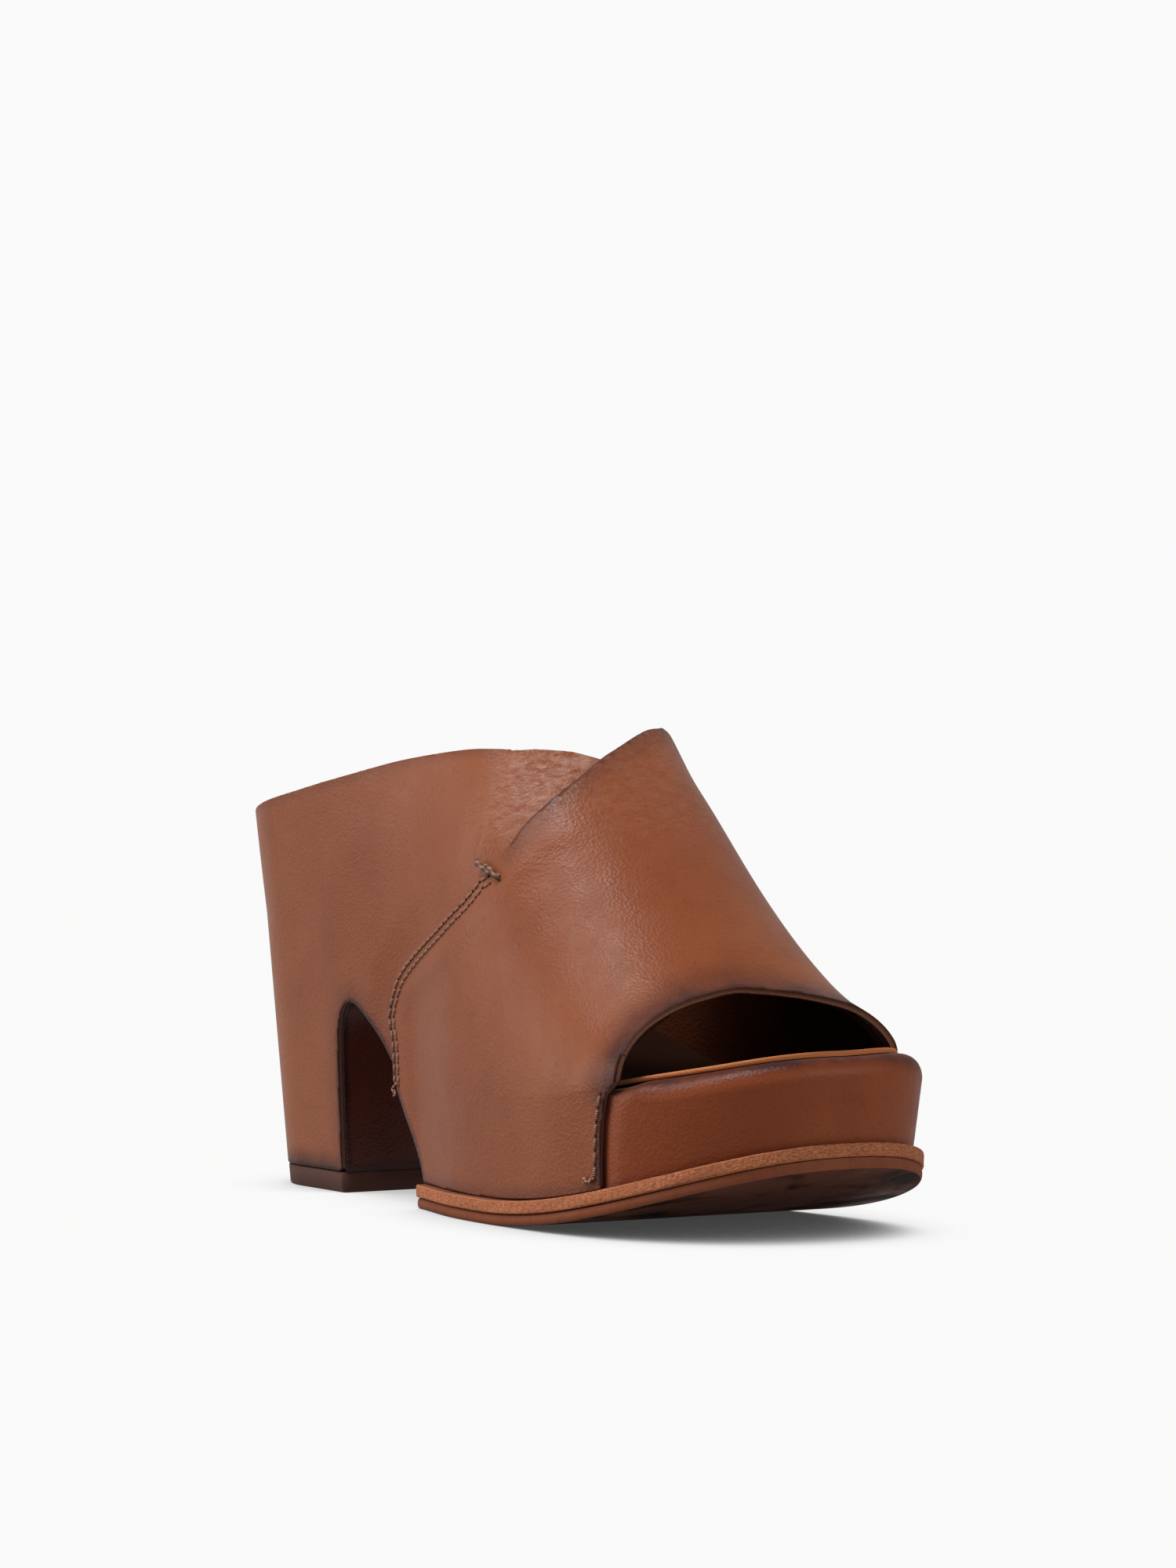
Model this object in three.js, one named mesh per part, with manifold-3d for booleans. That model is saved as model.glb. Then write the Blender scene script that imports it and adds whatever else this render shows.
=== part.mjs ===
// A right-foot peep-toe clog: a leather-wrapped wooden platform with a block heel.
// Millimetres, +Z up, toe towards -Y, the big-toe side towards +X.
// Places along the shoe are given as v, the distance from the back of the heel.
import * as THREE from 'three';
import { mergeVertices } from 'three/addons/utils/BufferGeometryUtils.js';
import Module from 'manifold-3d';

const wasm = await Module();
wasm.setup();

// ---------- driving dimensions ----------
const shoeLength = 251; // heel back to toe tip
const ballWidth = 90; // across the wrapped platform at its widest
const heelHeight = 76; // footbed rim above the ground at the heel
const platformHeight = 33; // footbed rim above the ground under the ball
const toeSpring = 19; // lift of the sole at the toe tip
const instepHeight = 127; // highest point of the upper
const leather = 1.8; // outer leather
const lining = 1.0; // inner leather
const gap = 0.3; // clearance between neighbours
const outsoleThick = 2.8;
const weltThick = 3.4;
const weltEdge = 2.3; // how far the welt stands out
const topPieceThick = 5.7;
const coverThick = 1.2;
const sockThick = 1.3;
const foamThick = 3;
const boardThick = 1.8;
const toeRound = 6; // radius of the platform's top edge at the toe
const seamSetback = 44; // toe tip back to the toe seam at the little-toe side
const thread = 0.45; // radius of the sewing thread

const s = shoeLength / 251;
const w = ballWidth / 90;
const rimDrop = heelHeight - platformHeight;
const up = (instepHeight - platformHeight) / 94;

// ---------- small tools ----------
const smooth = (t) => THREE.MathUtils.smoothstep(t, 0, 1);

// A smooth curve through [place, value] knots, flat beyond its ends.
function knots(list) {
  const x = list.map((p) => p[0]);
  const y = list.map((p) => p[1]);
  const n = x.length;
  const slope = (a, b) => (y[b] - y[a]) / (x[b] - x[a]);
  const m = x.map((_, i) => slope(Math.max(i - 1, 0), Math.min(i + 1, n - 1)));
  return (at) => {
    const c = THREE.MathUtils.clamp(at, x[0], x[n - 1]);
    let i = 0;
    while (i < n - 2 && c > x[i + 1]) i += 1;
    const h = x[i + 1] - x[i];
    const t = (c - x[i]) / h;
    const a = (1 + 2 * t) * (1 - t) ** 2 * y[i] + t * (1 - t) ** 2 * h * m[i];
    return a + t * t * (3 - 2 * t) * y[i + 1] + t * t * (t - 1) * h * m[i + 1];
  };
}

// Knots along the shoe, scaled with its length.
const along = (list, k = 1) => knots(list.map(([v, q]) => [v * s, q * k]));

// ---------- the outer form ----------
const heelEnd = 34 * s;
const toeStart = 176 * s;
const centre = along([[0, 0], [60, 0], [110, 1], [176, 1.5], [215, 2.5], [251, 6]], w);
const outside = along([[0, 36.6], [60, 37], [105, 37.5], [140, 44], [176, 45.5], [251, 45]], w);
const inside = along([[0, 36.6], [60, 36], [105, 32], [145, 38], [180, 43], [215, 46.7], [251, 46.7]], w);
const spring = (v) => toeSpring * (Math.max(0, v - 155 * s) / (96 * s)) ** 2;
const toeRim = along([[150, 0], [190, 1.5], [214, 5.6], [231, 8.8], [242, 11.6], [251, 14.2]]);
const rim = (v) => platformHeight + rimDrop * smooth((172 * s - v) / (150 * s)) + toeRim(v) * (toeSpring / 19);
const lean = (v, facing) => 0.085 - 0.04 * smooth((v / s - 50) / 60) + 0.05 * Math.max(facing, 0) ** 2;
const ridge = along(
  [[0, 217], [70, 172], [110, 137], [130, 114], [146, 94], [159, 81], [175, 64.5], [187, 53], [200, 41], [211, 30.5],
    [230, 20], [251, 15]], up);
const ridgeX = along([[0, 0], [60, 2], [110, 6], [150, 7], [200, 4], [251, 4]], w);
const squareness = along([[0, 2.4], [100, 2.4], [150, 2.3], [200, 1.85], [218, 2.2], [251, 2.2]]);
const flare = along([[0, 0.11], [40, 0.1], [90, 0.05], [130, 0], [251, 0]]);

// Stations run from the heel's back to the toe tip; full is how much of the width each keeps.
function stationList(nHeel, nMid, nToe) {
  const list = [];
  for (let i = 0; i < nHeel; i += 1) {
    const a = (Math.PI / 2) * (1 - i / nHeel);
    list.push({ v: heelEnd * (1 - Math.sin(a) ** 0.93), full: Math.cos(a) ** 0.93 });
  }
  for (let i = 0; i < nMid; i += 1) list.push({ v: heelEnd + ((toeStart - heelEnd) * i) / nMid, full: 1 });
  for (let i = 0; i <= nToe; i += 1) {
    const a = (Math.PI / 2) * (i / nToe);
    list.push({ v: toeStart + (shoeLength - toeStart) * Math.sin(a) ** 0.816, full: Math.cos(a) ** 0.816 });
  }
  const rimX = (st, side) => centre(st.v) + side * st.full * (side < 0 ? outside : inside)(st.v);
  list.forEach((st) => {
    st.x = { '-1': rimX(st, -1), 1: rimX(st, 1) };
  });
  list.forEach((st, i) => {
    const a = list[Math.max(i - 1, 0)];
    const b = list[Math.min(i + 1, list.length - 1)];
    st.facing = {};
    for (const side of [-1, 1]) {
      const n = new THREE.Vector2((b.v - a.v) * side, (a.x[side] - b.x[side]) * side).normalize();
      if (i === 0) n.set(0, -1);
      if (i === list.length - 1) n.set(0, 1);
      st.facing[side] = n;
    }
  });
  return list;
}
const stations = stationList(8, 17, 11);

// A point pushed out square to the rim line.
function rimPoint(st, side, out, z) {
  const n = st.facing[side];
  return new THREE.Vector3(st.x[side] + n.x * out, -(st.v + n.y * out), z);
}

// The wall below the rim leans in towards the ground.
const wallOut = (st, side, z) => -lean(st.v, st.facing[side].y) * (rim(st.v) - z);

// One side of the outer form at one station: wall rows, then rows over the foot to the ridge.
function skinColumn(st, side, nWall, nOver) {
  const z0 = -3;
  const z1 = rim(st.v);
  const column = [];
  for (let j = 0; j <= nWall; j += 1) {
    const z = z0 + ((z1 - z0) * j) / nWall;
    column.push(rimPoint(st, side, wallOut(st, side, z), z));
  }
  const top = Math.max(platformHeight + ridge(st.v), z1 + 1);
  const topX = ridgeX(st.v) * st.full + centre(st.v) * (1 - st.full);
  const power = 2 / squareness(st.v);
  for (let j = 1; j <= nOver; j += 1) {
    const t = (Math.PI / 2) * (j / nOver);
    const c = j === nOver ? 0 : Math.cos(t) ** power;
    const z = z1 + (top - z1) * Math.sin(t) ** power;
    const out = flare(st.v) * Math.min(z - z1, 60) * c;
    const p = rimPoint(st, side, out, z);
    p.x = topX + (st.x[side] - topX) * c + st.facing[side].x * out;
    column.push(p);
  }
  return column;
}

// ---------- solids ----------
function toSolid(geometry) {
  geometry.deleteAttribute('normal');
  geometry.deleteAttribute('uv');
  const g = mergeVertices(geometry, 1e-4);
  const vertProperties = new Float32Array(g.attributes.position.array);
  const solid = new wasm.Manifold(new wasm.Mesh({ numProp: 3, vertProperties, triVerts: new Uint32Array(g.index.array) }));
  return solid;
}

// A closed body from one loop-shaped chain of points per station, the first and last of them pinched flat.
function chainGeometry(chains) {
  const positions = [];
  const index = [];
  const lookup = new Map();
  const id = (p) => {
    const key = [p.x, p.y, p.z].map((q) => Math.round(q * 1e4)).join();
    if (!lookup.has(key)) {
      lookup.set(key, positions.length / 3);
      positions.push(p.x, p.y, p.z);
    }
    return lookup.get(key);
  };
  const face = (a, b, c) => {
    if (a !== b && b !== c && c !== a) index.push(a, b, c);
  };
  for (let i = 0; i + 1 < chains.length; i += 1) {
    const a = chains[i].map(id);
    const b = chains[i + 1].map(id);
    for (let k = 0; k < a.length; k += 1) {
      const next = (k + 1) % a.length;
      face(a[k], b[k], b[next]);
      face(a[k], b[next], a[next]);
    }
  }
  const g = new THREE.BufferGeometry();
  g.setAttribute('position', new THREE.Float32BufferAttribute(positions, 3));
  g.setIndex(index);
  return g;
}

// The outer form sunk by a depth, as a solid that is closed underneath.
function form(depth) {
  const chains = stations.map((st) => {
    const left = skinColumn(st, -1, 5, 15);
    const right = skinColumn(st, 1, 5, 15).reverse();
    return [...left, ...right.slice(1)];
  });
  const g = chainGeometry(chains);
  if (depth > 0) {
    g.computeVertexNormals();
    const p = g.attributes.position;
    const n = g.attributes.normal;
    for (let i = 0; i < p.count; i += 1) {
      const flat = new THREE.Vector3(n.getX(i), n.getY(i), p.getZ(i) < 0 ? 0 : n.getZ(i)).normalize();
      p.setXYZ(i, p.getX(i) - flat.x * depth, p.getY(i) - flat.y * depth, p.getZ(i) - flat.z * depth);
    }
  }
  return toSolid(g);
}

// A solid of stacked rim lines; each row gives its height and how far it stands out.
function stack(rows) {
  const side = (st, q) => rows.map((r) => {
    const out = r.out(st, q);
    return rimPoint(st, q, out, r.z(st.v + st.facing[q].y * out));
  });
  return toSolid(chainGeometry(stations.map((st) => [...side(st, -1), ...side(st, 1).reverse()])));
}

// The wooden platform's form sunk by a depth, with its rounded top edge.
function block(depth) {
  const at = (height) => ({ z: height, out: (st, k) => wallOut(st, k, height(st.v)) - depth });
  const r = toeRound - depth;
  const shoulder = (v) => rim(v) - toeRound;
  const rows = [at(() => -3), at((v) => shoulder(v) / 2), at(shoulder)];
  for (const a of [30, 60, 90].map(THREE.MathUtils.degToRad)) {
    const z = (v) => shoulder(v) + r * Math.sin(a);
    rows.push({ z, out: (st, k) => wallOut(st, k, shoulder(st.v)) - depth - r * (1 - Math.cos(a)) });
  }
  return stack(rows);
}

// Everything inside a side-view outline of [v, z] points, between two places across the shoe.
function sidePrism(points, x0 = -90, x1 = 90) {
  const shape = new THREE.Shape(points.map(([v, z]) => new THREE.Vector2(v, z)));
  const g = new THREE.ExtrudeGeometry(shape, { depth: x1 - x0, bevelEnabled: false });
  const axes = [new THREE.Vector3(0, -1, 0), new THREE.Vector3(0, 0, 1), new THREE.Vector3(-1, 0, 0)];
  g.applyMatrix4(new THREE.Matrix4().makeBasis(...axes).setPosition(x1, 0, 0));
  return toSolid(g);
}

// Everything inside a top-view outline of [x, v] points, between two heights.
function topPrism(points, z0, z1) {
  const shape = new THREE.Shape(points.map(([x, v]) => new THREE.Vector2(x, v)));
  const g = new THREE.ExtrudeGeometry(shape, { depth: z1 - z0, bevelEnabled: false });
  const axes = [new THREE.Vector3(1, 0, 0), new THREE.Vector3(0, -1, 0), new THREE.Vector3(0, 0, -1)];
  g.applyMatrix4(new THREE.Matrix4().makeBasis(...axes).setPosition(0, 0, z1));
  return toSolid(g);
}

// An upright round bar.
function bar(x, v, z0, z1, radius, sides = 12) {
  const g = new THREE.CylinderGeometry(radius, radius, z1 - z0, sides);
  g.rotateX(Math.PI / 2);
  g.translate(x, -v, (z0 + z1) / 2);
  return toSolid(g);
}

// ---------- side-view lines ----------
const line = (points, n = 24) => new THREE.SplineCurve(points.map(([v, z]) => new THREE.Vector2(v * s, z)))
  .getPoints(n).map((p) => [p.x, p.y]);
const curve = (height, v0, v1, n = 24) => Array.from({ length: n + 1 }, (_, i) => {
  const v = v0 + ((v1 - v0) * i) / n;
  return [v, height(v)];
});

// A line moved sideways, to its left as it runs.
function shifted(points, d) {
  return points.map((p, i) => {
    const a = points[Math.max(i - 1, 0)];
    const b = points[Math.min(i + 1, points.length - 1)];
    const n = new THREE.Vector2(a[1] - b[1], b[0] - a[0]).normalize();
    return [p[0] + n.x * d, p[1] + n.y * d];
  });
}

const far = shoeLength + 30;
const soleTop = (v) => spring(v) + outsoleThick + weltThick + 0.5;
const archTop = 0.697 * heelHeight; // crown of the arch between heel and platform
const k = archTop / 53;
const waistEnd = 111.2 * s;
const breast = line([[59.5, 6], [61.2, 27 * k], [63, 43 * k], [66, 50.3 * k], [71.5, archTop]], 14);
const waist = line([[71.5, archTop], [78, 50.3 * k], [88, 42 * k], [97, 30 * k], [104, 20.5 * k], [109, 12], [111.2, 6.5]], 14);
const arch = [...breast, ...waist.slice(1)];
const underneath = [[-40, -40], [-40, topPieceThick + gap], ...arch, ...curve(soleTop, waistEnd + 1, far), [far, -40]];

// The top edge along each side, drawn in side view, and over the instep, drawn from above.
const h = instepHeight / 127;
const topline = line(
  [[-8, 87 * h], [2, 91 * h], [14, 103 * h], [29, 107.3 * h], [53, 111.2 * h], [78, 115.2 * h], [101, 119 * h],
    [124, 121.6 * h], [135, 122.2 * h]], 24);
const innerTopline = [...topline, [142.5 * s, instepHeight]];
const overhead = (points, n) => new THREE.SplineCurve(points.map(([x, v]) => new THREE.Vector2(x * w, v * s)))
  .getPoints(n).map((p) => [p.x, p.y]);
const rearCorner = overhead([[-29, 120], [-25.6, 135.2], [-21.3, 140], [-9.9, 148.2], [-3.7, 152], [6, 158]], 12);
const freeEdge = overhead([[-60, 151.2], [-30, 151.2], [-22.4, 153.7], [-13.5, 154.2], [-3.7, 152], [2.5, 150.1], [15, 145],
  [19.1, 142.5]], 20);
const peak = [[19.1, 142.5], [25, 139], [28, 133], [29, 120], [29, 60]].map(([x, v]) => [x * w, v * s]);
// Heights above the footbed follow the instep.
const lifted = ([v, z]) => [v, z > 62 ? 62 + ((z - 62) * (instepHeight - 62)) / 65 : z];
const freeFoot = [[147, 90], [151.2, 99.6]].map(lifted).map(([v, z]) => [v * s, z]);
const seam = line(
  [[95, 5], [94.8, 29], [95, 42], [93.4, 49.5], [95.7, 55.5], [100.8, 62.2], [110.8, 68.3], [126.9, 75.6], [139, 82.6],
    [144, 88], [147, 90]].map(lifted), 26);
const sewnSeam = seam.slice(0, -1);
const toeSeam = (shift) => [[207, 0], [207.9, 20], [209, 29.7], [210.6, 36], [213.8, 39.2], [214.5, 60]]
  .map(([v, z]) => [(v - 207 + shift) + shoeLength - seamSetback, z]);
const medialShift = 11;
const padEnd = shoeLength - seamSetback - 8; // the pad narrows from here to clear the toe wrap

// ---------- the leather layers ----------
const outer = form(0);
const underPanel = form(leather);
const overLining = form(leather + gap);
const cavity = form(leather + gap + lining);
const below = sidePrism(underneath);

// The rear panel's ground: behind the seam below, and behind the free edge above.
function rearGround(grow) {
  const edge = shifted([...sewnSeam, ...freeFoot], -grow);
  const low = sidePrism([...edge, [-40, freeFoot[1][1]], [-40, -40], [edge[0][0], -40]], -90, grow / 2 - gap / 4);
  const ahead = freeEdge.map(([x, v]) => [x, v + grow]);
  const high = topPrism([...ahead, [19.1 * w, -40], [-60 * w, -40]], freeFoot[1][1] - 0.5, 260);
  return low.add(high.subtract(sidePrism([[-50, -50], [130 * s, -50], [130 * s, 300], [-50, 300]], grow / 2 - gap / 4, 90)));
}
const opening = (edge) => {
  const end = edge[edge.length - 1];
  return sidePrism([[-40, 87 * h], ...edge, [end[0], 260], [-40, 260]]);
};
const rearOpening = (edge) => opening(edge)
  .add(topPrism([...rearCorner, [30, 158 * s], [30, 60 * s], [-29 * w, 60 * s]], 95 * h, 260));
const frontOpening = (edge) => opening(edge)
  .add(topPrism([...freeEdge, ...peak.slice(1), [-60 * w, 60 * s]], freeFoot[1][1], 260));
const mouthLine = new THREE.SplineCurve(
  [[-90, 213.4], [-40, 213.6], [-35, 216], [-27, 216.6], [-15.6, 214.8], [-5, 214.1], [3, 215], [12, 216.4], [25, 218.3],
    [31, 220.5], [35.5, 224], [40, 225], [90, 225.6]]
    .map(([x, v]) => new THREE.Vector2(x * w, v - 207 + shoeLength - seamSetback)),
).getPoints(36).map((p) => [p.x, p.y]);
const ahead = (z0) => topPrism([...mouthLine, [90, far], [-90, far]], z0, 260);
const toeSide = (shift, x0, x1) => sidePrism([...toeSeam(shift), [far, 60], [far, -40], [toeSeam(shift)[0][0], -40]], x0, x1);

function rearPanel() {
  return outer.subtract(underPanel)
    .intersect(rearGround(0))
    .subtract(sidePrism([[-40, -40], [200, -40], [200, 300], [-40, 300]], -gap / 2, 90))
    .subtract(rearOpening(topline))
    .subtract(below);
}

function frontPanel() {
  return outer.subtract(underPanel)
    .subtract(rearGround(gap))
    .subtract(frontOpening(innerTopline))
    .subtract(below)
    .subtract(ahead(platformHeight - 3))
    .subtract(toeSide(0, -90, 0))
    .subtract(toeSide(medialShift, 0, 90));
}

// The linings start beside the insole and stop short of every visible edge.
const liningFloor = [
  ...curve((v) => rim(v) - 5, -40, padEnd - 11, 40), ...curve((v) => rim(v) + gap, padEnd, far, 8), [far, -40], [-40, -40]];
const liningEdge = overhead([[-29, 120], [-25.6, 136], [-21.3, 141], [-9.9, 149.2], [-3.7, 152.6], [2.5, 151], [15, 146], [19.1, 143.5]], 16);
const trimBack = (edge) => edge.map(([v, z]) => [v, z - 0.6]);

function liningShell() {
  return overLining.subtract(cavity)
    .subtract(sidePrism(liningFloor))
    .subtract(topPrism([...mouthLine.map(([x, v]) => [x, v - 1.5]), [90, far], [-90, far]], -10, 260));
}

function rearLining() {
  return liningShell()
    .intersect(sidePrism([[100 * s, -40], [118 * s, 200], [-40, 200], [-40, -40]], -90, -gap / 2))
    .subtract(opening(trimBack(topline)));
}

function frontLining() {
  const rear = [[100 * s + gap, -40], [118 * s + gap, 200], [-40, 200], [-40, -40]];
  return liningShell()
    .subtract(sidePrism(rear, -90, gap / 2))
    .subtract(opening(trimBack(innerTopline)))
    .subtract(topPrism([...liningEdge, ...peak.slice(1), [-29 * w, 60 * s]], 95 * h, 260));
}

function toeWrap() {
  const flange = 14;
  const plug = stack([{ z: () => -10, out: () => -flange }, { z: () => 90, out: () => -flange }]);
  const behind = (shift, x0, x1) => {
    const edge = toeSeam(shift).map(([v, z]) => [v + gap, z]);
    return sidePrism([...edge, [edge[5][0], 200], [-40, 200], [-40, -40], [edge[0][0], -40]], x0, x1);
  };
  return block(0).subtract(block(leather))
    .subtract(plug)
    .subtract(behind(0, -90, 0))
    .subtract(behind(medialShift, 0, 90))
    .subtract(below);
}

// ---------- the footbed ----------
const padInset = (base, extra) => (st) => -(base + extra * smooth((st.v - padEnd) / 6));
const layer = (low, high, out) => stack([
  { z: (v) => rim(v) + low, out },
  { z: (v) => rim(v) + high, out },
]);
const foamTop = 0;
const boardTop = foamTop - foamThick - gap;
const coreTop = boardTop - boardThick - gap;
const sock = () => layer(gap, gap + sockThick, (st) => -(3.9 + 2.6 * smooth((st.v - padEnd - 4) / 8)));
const foam = () => layer(foamTop - foamThick, foamTop, padInset(3.9, 10.7));
const board = () => layer(boardTop - boardThick, boardTop, padInset(3.9, 10.7));

// ---------- wood, heel and sole ----------
const jointLine = [[-40, 0.78 * heelHeight], [60 * s, 0.745 * heelHeight], [71.5 * s, archTop + coverThick + 1.5]];
const woodArch = shifted(arch, coverThick + gap);
const screws = [-13, 13].map((x) => [x * w, 30 * s]);
const screwTop = (v) => rim(v) + coreTop - gap;
const nails = [[-17.5, 18], [17.5, 18], [-20, 44], [20, 44]].map(([x, v]) => [x * w, v * s]);

function woodBlock() {
  return block(leather + gap).subtract(sidePrism(
    [[-40, -40], [-40, topPieceThick + gap], ...woodArch, ...curve((v) => soleTop(v), waistEnd + 1, far), [far, -40]]));
}

function shankBand(low, high, grow) {
  const band = [...curve((v) => rim(v) + low, 42 * s - grow, 138 * s + grow, 14),
    ...curve((v) => rim(v) + high, 42 * s - grow, 138 * s + grow, 14).reverse()];
  return sidePrism(band, -6 - grow, 6 + grow);
}

function platformCore() {
  const pocket = stack([
    { z: (v) => rim(v) + coreTop, out: (st) => (st.v < padEnd ? 6 : padInset(3.6, 10.7)(st)) },
    { z: (v) => rim(v) + 20, out: (st) => (st.v < padEnd ? 6 : padInset(3.6, 10.7)(st)) },
  ]);
  let solid = woodBlock()
    .intersect(sidePrism([...jointLine, [71.5 * s, -40], [far, -40], [far, 120], [-40, 120]]))
    .subtract(pocket)
    .subtract(shankBand(coreTop - 2, coreTop + 3, gap));
  for (const [x, v] of screws) {
    solid = solid.subtract(bar(x, v, 20, 100, 2 + gap)).subtract(bar(x, v, screwTop(v) - 2.2 - gap, 100, 3.8 + gap));
  }
  return solid;
}

function heelBlock() {
  const line2 = jointLine.map(([v, z]) => [v, z - gap]);
  let solid = woodBlock()
    .intersect(sidePrism([...line2.slice(0, 2), [71.2 * s, line2[2][1]], [71.2 * s, -40], [-40, -40]]));
  for (const [x, v] of screws) solid = solid.subtract(bar(x, v, 29, 100, 2 + gap));
  for (const [x, v] of nails) solid = solid.subtract(bar(x, v, -5, 20 + gap, 1 + gap, 8));
  return solid;
}

function screw([x, v]) {
  const head = bar(x, v, screwTop(v) - 2, screwTop(v), 3.8);
  return head.add(bar(x, v, 30, screwTop(v) - 1, 2));
}

function nail([x, v]) {
  return bar(x, v, 1.2, 2.4, 2.4, 8).add(bar(x, v, 2, 20, 1, 8));
}

function coverSheet(edge) {
  const band = [...edge, ...shifted(edge, coverThick).reverse()];
  return block(leather + gap).intersect(sidePrism(band));
}

function topPiece() {
  const heelOnly = [[-40, 0], [59.5 * s, 0], [59.5 * s, topPieceThick], [-40, topPieceThick]];
  let solid = block(0.2).intersect(sidePrism(heelOnly));
  for (const [x, v] of nails) {
    solid = solid.subtract(bar(x, v, -1, 9, 1 + gap, 8)).subtract(bar(x, v, -1, 2.4 + gap, 2.4 + gap, 8));
  }
  return solid;
}

// The sole layers follow the wall's foot, standing out from it.
function soleLayer(low, high, out) {
  const foot = (st, side) => wallOut(st, side, 6) + out;
  const whole = stack([{ z: (v) => spring(v) + low, out: foot }, { z: (v) => spring(v) + high, out: foot }]);
  return whole.intersect(sidePrism([[waistEnd, -40], [far, -40], [far, 90], [waistEnd, 90]]));
}
const weltLow = outsoleThick + 0.2;
const outsole = () => soleLayer(0, outsoleThick, weltEdge - 0.4);
const welt = () => {
  const whole = soleLayer(weltLow, weltLow + weltThick, weltEdge);
  return whole.subtract(stack([{ z: () => -10, out: (st, q) => wallOut(st, q, 6) - 11 },
    { z: () => 90, out: (st, q) => wallOut(st, q, 6) - 11 }]));
};
const soleFiller = () => soleLayer(weltLow, weltLow + weltThick, -11 - gap);

// ---------- sewing ----------
// The point of the outer form at a place and height on one side, and its outward direction.
const columns = { '-1': stations.map((st) => skinColumn(st, -1, 5, 15)), 1: stations.map((st) => skinColumn(st, 1, 5, 15)) };
function atHeight(column, z) {
  let j = 1;
  while (j < column.length - 1 && column[j].z < z) j += 1;
  const a = column[j - 1];
  const b = column[j];
  return a.clone().lerp(b, (z - a.z) / (b.z - a.z));
}
function onSkin(side, v, z) {
  const cols = columns[side];
  let i = 1;
  while (i < cols.length - 1 && stations[i].v < v) i += 1;
  const a = atHeight(cols[i - 1], z);
  const b = atHeight(cols[i], z);
  return a.lerp(b, (v - stations[i - 1].v) / (stations[i].v - stations[i - 1].v));
}
function skinNormal(side, v, z) {
  const across = onSkin(side, v + 2, z).sub(onSkin(side, v - 2, z));
  const rise = onSkin(side, v, z + 2).sub(onSkin(side, v, z - 2));
  return rise.cross(across).multiplyScalar(side).normalize();
}

// A continuous thread that rises over each stitch and dips between them.
function threadAlong(points, pitch) {
  const path = new THREE.CatmullRomCurve3(points.map((q) => q.p));
  const count = Math.max(2, Math.round(path.getLength() / pitch));
  const bumps = [];
  for (let i = 0; i <= count * 2; i += 1) {
    const t = i / (count * 2);
    const n = points[Math.round(t * (points.length - 1))].n;
    bumps.push(path.getPointAt(t).addScaledVector(n, thread + gap + (i % 2) * 0.35));
  }
  const section = new THREE.Shape();
  section.absarc(0, 0, thread, 0, Math.PI * 2);
  const g = new THREE.ExtrudeGeometry(section, {
    steps: count * 2, curveSegments: 2, bevelEnabled: false, extrudePath: new THREE.CatmullRomCurve3(bumps),
  });
  return toSolid(g);
}
const sewn = (side, outline) => outline.map(([v, z]) => ({ p: onSkin(side, v, z), n: skinNormal(side, v, z) }));
const upperSeam = sewnSeam.filter(([, z]) => z > 31);
const quarterRow = (d) => threadAlong(sewn(-1, shifted(upperSeam, -d)), 3.2);
const toeRow = (side, shift) => {
  const run = toeSeam(shift).filter(([, z]) => z > 15 && z < 37).map(([v, z]) => [v - 1.8, z]);
  return threadAlong(sewn(side, [[run[0][0] - 0.5, soleTop(run[0][0]) + 2], ...run]), 3.3);
};
const barTack = () => threadAlong(sewn(-1, [[141.5, 92.5], [145, 90.8], [148.5, 88.5]].map(lifted).map(([v, z]) => [v * s, z])), 3);
const backRow = () => {
  const at = (z) => ({ p: atHeight(columns[1][0], z).add(new THREE.Vector3(1.7, 0.05, 0)), n: new THREE.Vector3(0, 1, 0) });
  const top = 84 * h;
  return threadAlong([0, 0.25, 0.5, 0.75, 1].map((t) => at(9 + (top - 9) * t)), 3.4);
};

// ---------- materials and the finished group ----------
const finish = (color, roughness, metalness = 0) => new THREE.MeshStandardMaterial({ color, roughness, metalness });
const brownLeather = finish(0x7a4630, 0.5);
const darkLeather = finish(0x3a1c1a, 0.45);
const tanLeather = finish(0xb5714a, 0.6);
const weltLeather = finish(0x9a5a38, 0.75);
const rubber = finish(0x3b2722, 0.8);
const wood = finish(0xc29a6b, 0.65);
const foamRubber = finish(0xd8cdb4, 0.9);
const fibreboard = finish(0xa5825e, 0.85);
const steel = finish(0x9a9a9c, 0.35, 1);
const brownThread = finish(0x5b3524, 0.7);

const clog = new THREE.Group();
clog.name = 'clog';
function add(name, solid, material) {
  const { vertProperties, triVerts } = solid.getMesh();
  const g = new THREE.BufferGeometry();
  g.setAttribute('position', new THREE.BufferAttribute(new Float32Array(vertProperties), 3));
  g.setIndex(new THREE.BufferAttribute(new Uint32Array(triVerts), 1));
  g.computeVertexNormals();
  const mesh = new THREE.Mesh(g, material);
  mesh.name = name;
  clog.add(mesh);
}

add('rear_panel', rearPanel(), brownLeather);
add('front_panel', frontPanel(), brownLeather);
add('toe_wrap', toeWrap(), brownLeather);
add('rear_lining', rearLining(), tanLeather);
add('front_lining', frontLining(), tanLeather);
add('sock_lining', sock(), tanLeather);
add('footbed_foam', foam(), foamRubber);
add('insole_board', board(), fibreboard);
add('shank', shankBand(coreTop - 1.9, coreTop - gap, 0), steel);
add('platform_core', platformCore(), wood);
add('heel_block', heelBlock(), wood);
screws.forEach((at, i) => add(`heel_screw_${i + 1}`, screw(at), steel));
add('heel_breast_cover', coverSheet(breast.slice(0, -1)), darkLeather);
add('waist_cover', coverSheet(waist), darkLeather);
add('heel_top_piece', topPiece(), rubber);
nails.forEach((at, i) => add(`top_piece_nail_${i + 1}`, nail(at), steel));
add('welt', welt(), weltLeather);
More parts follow.
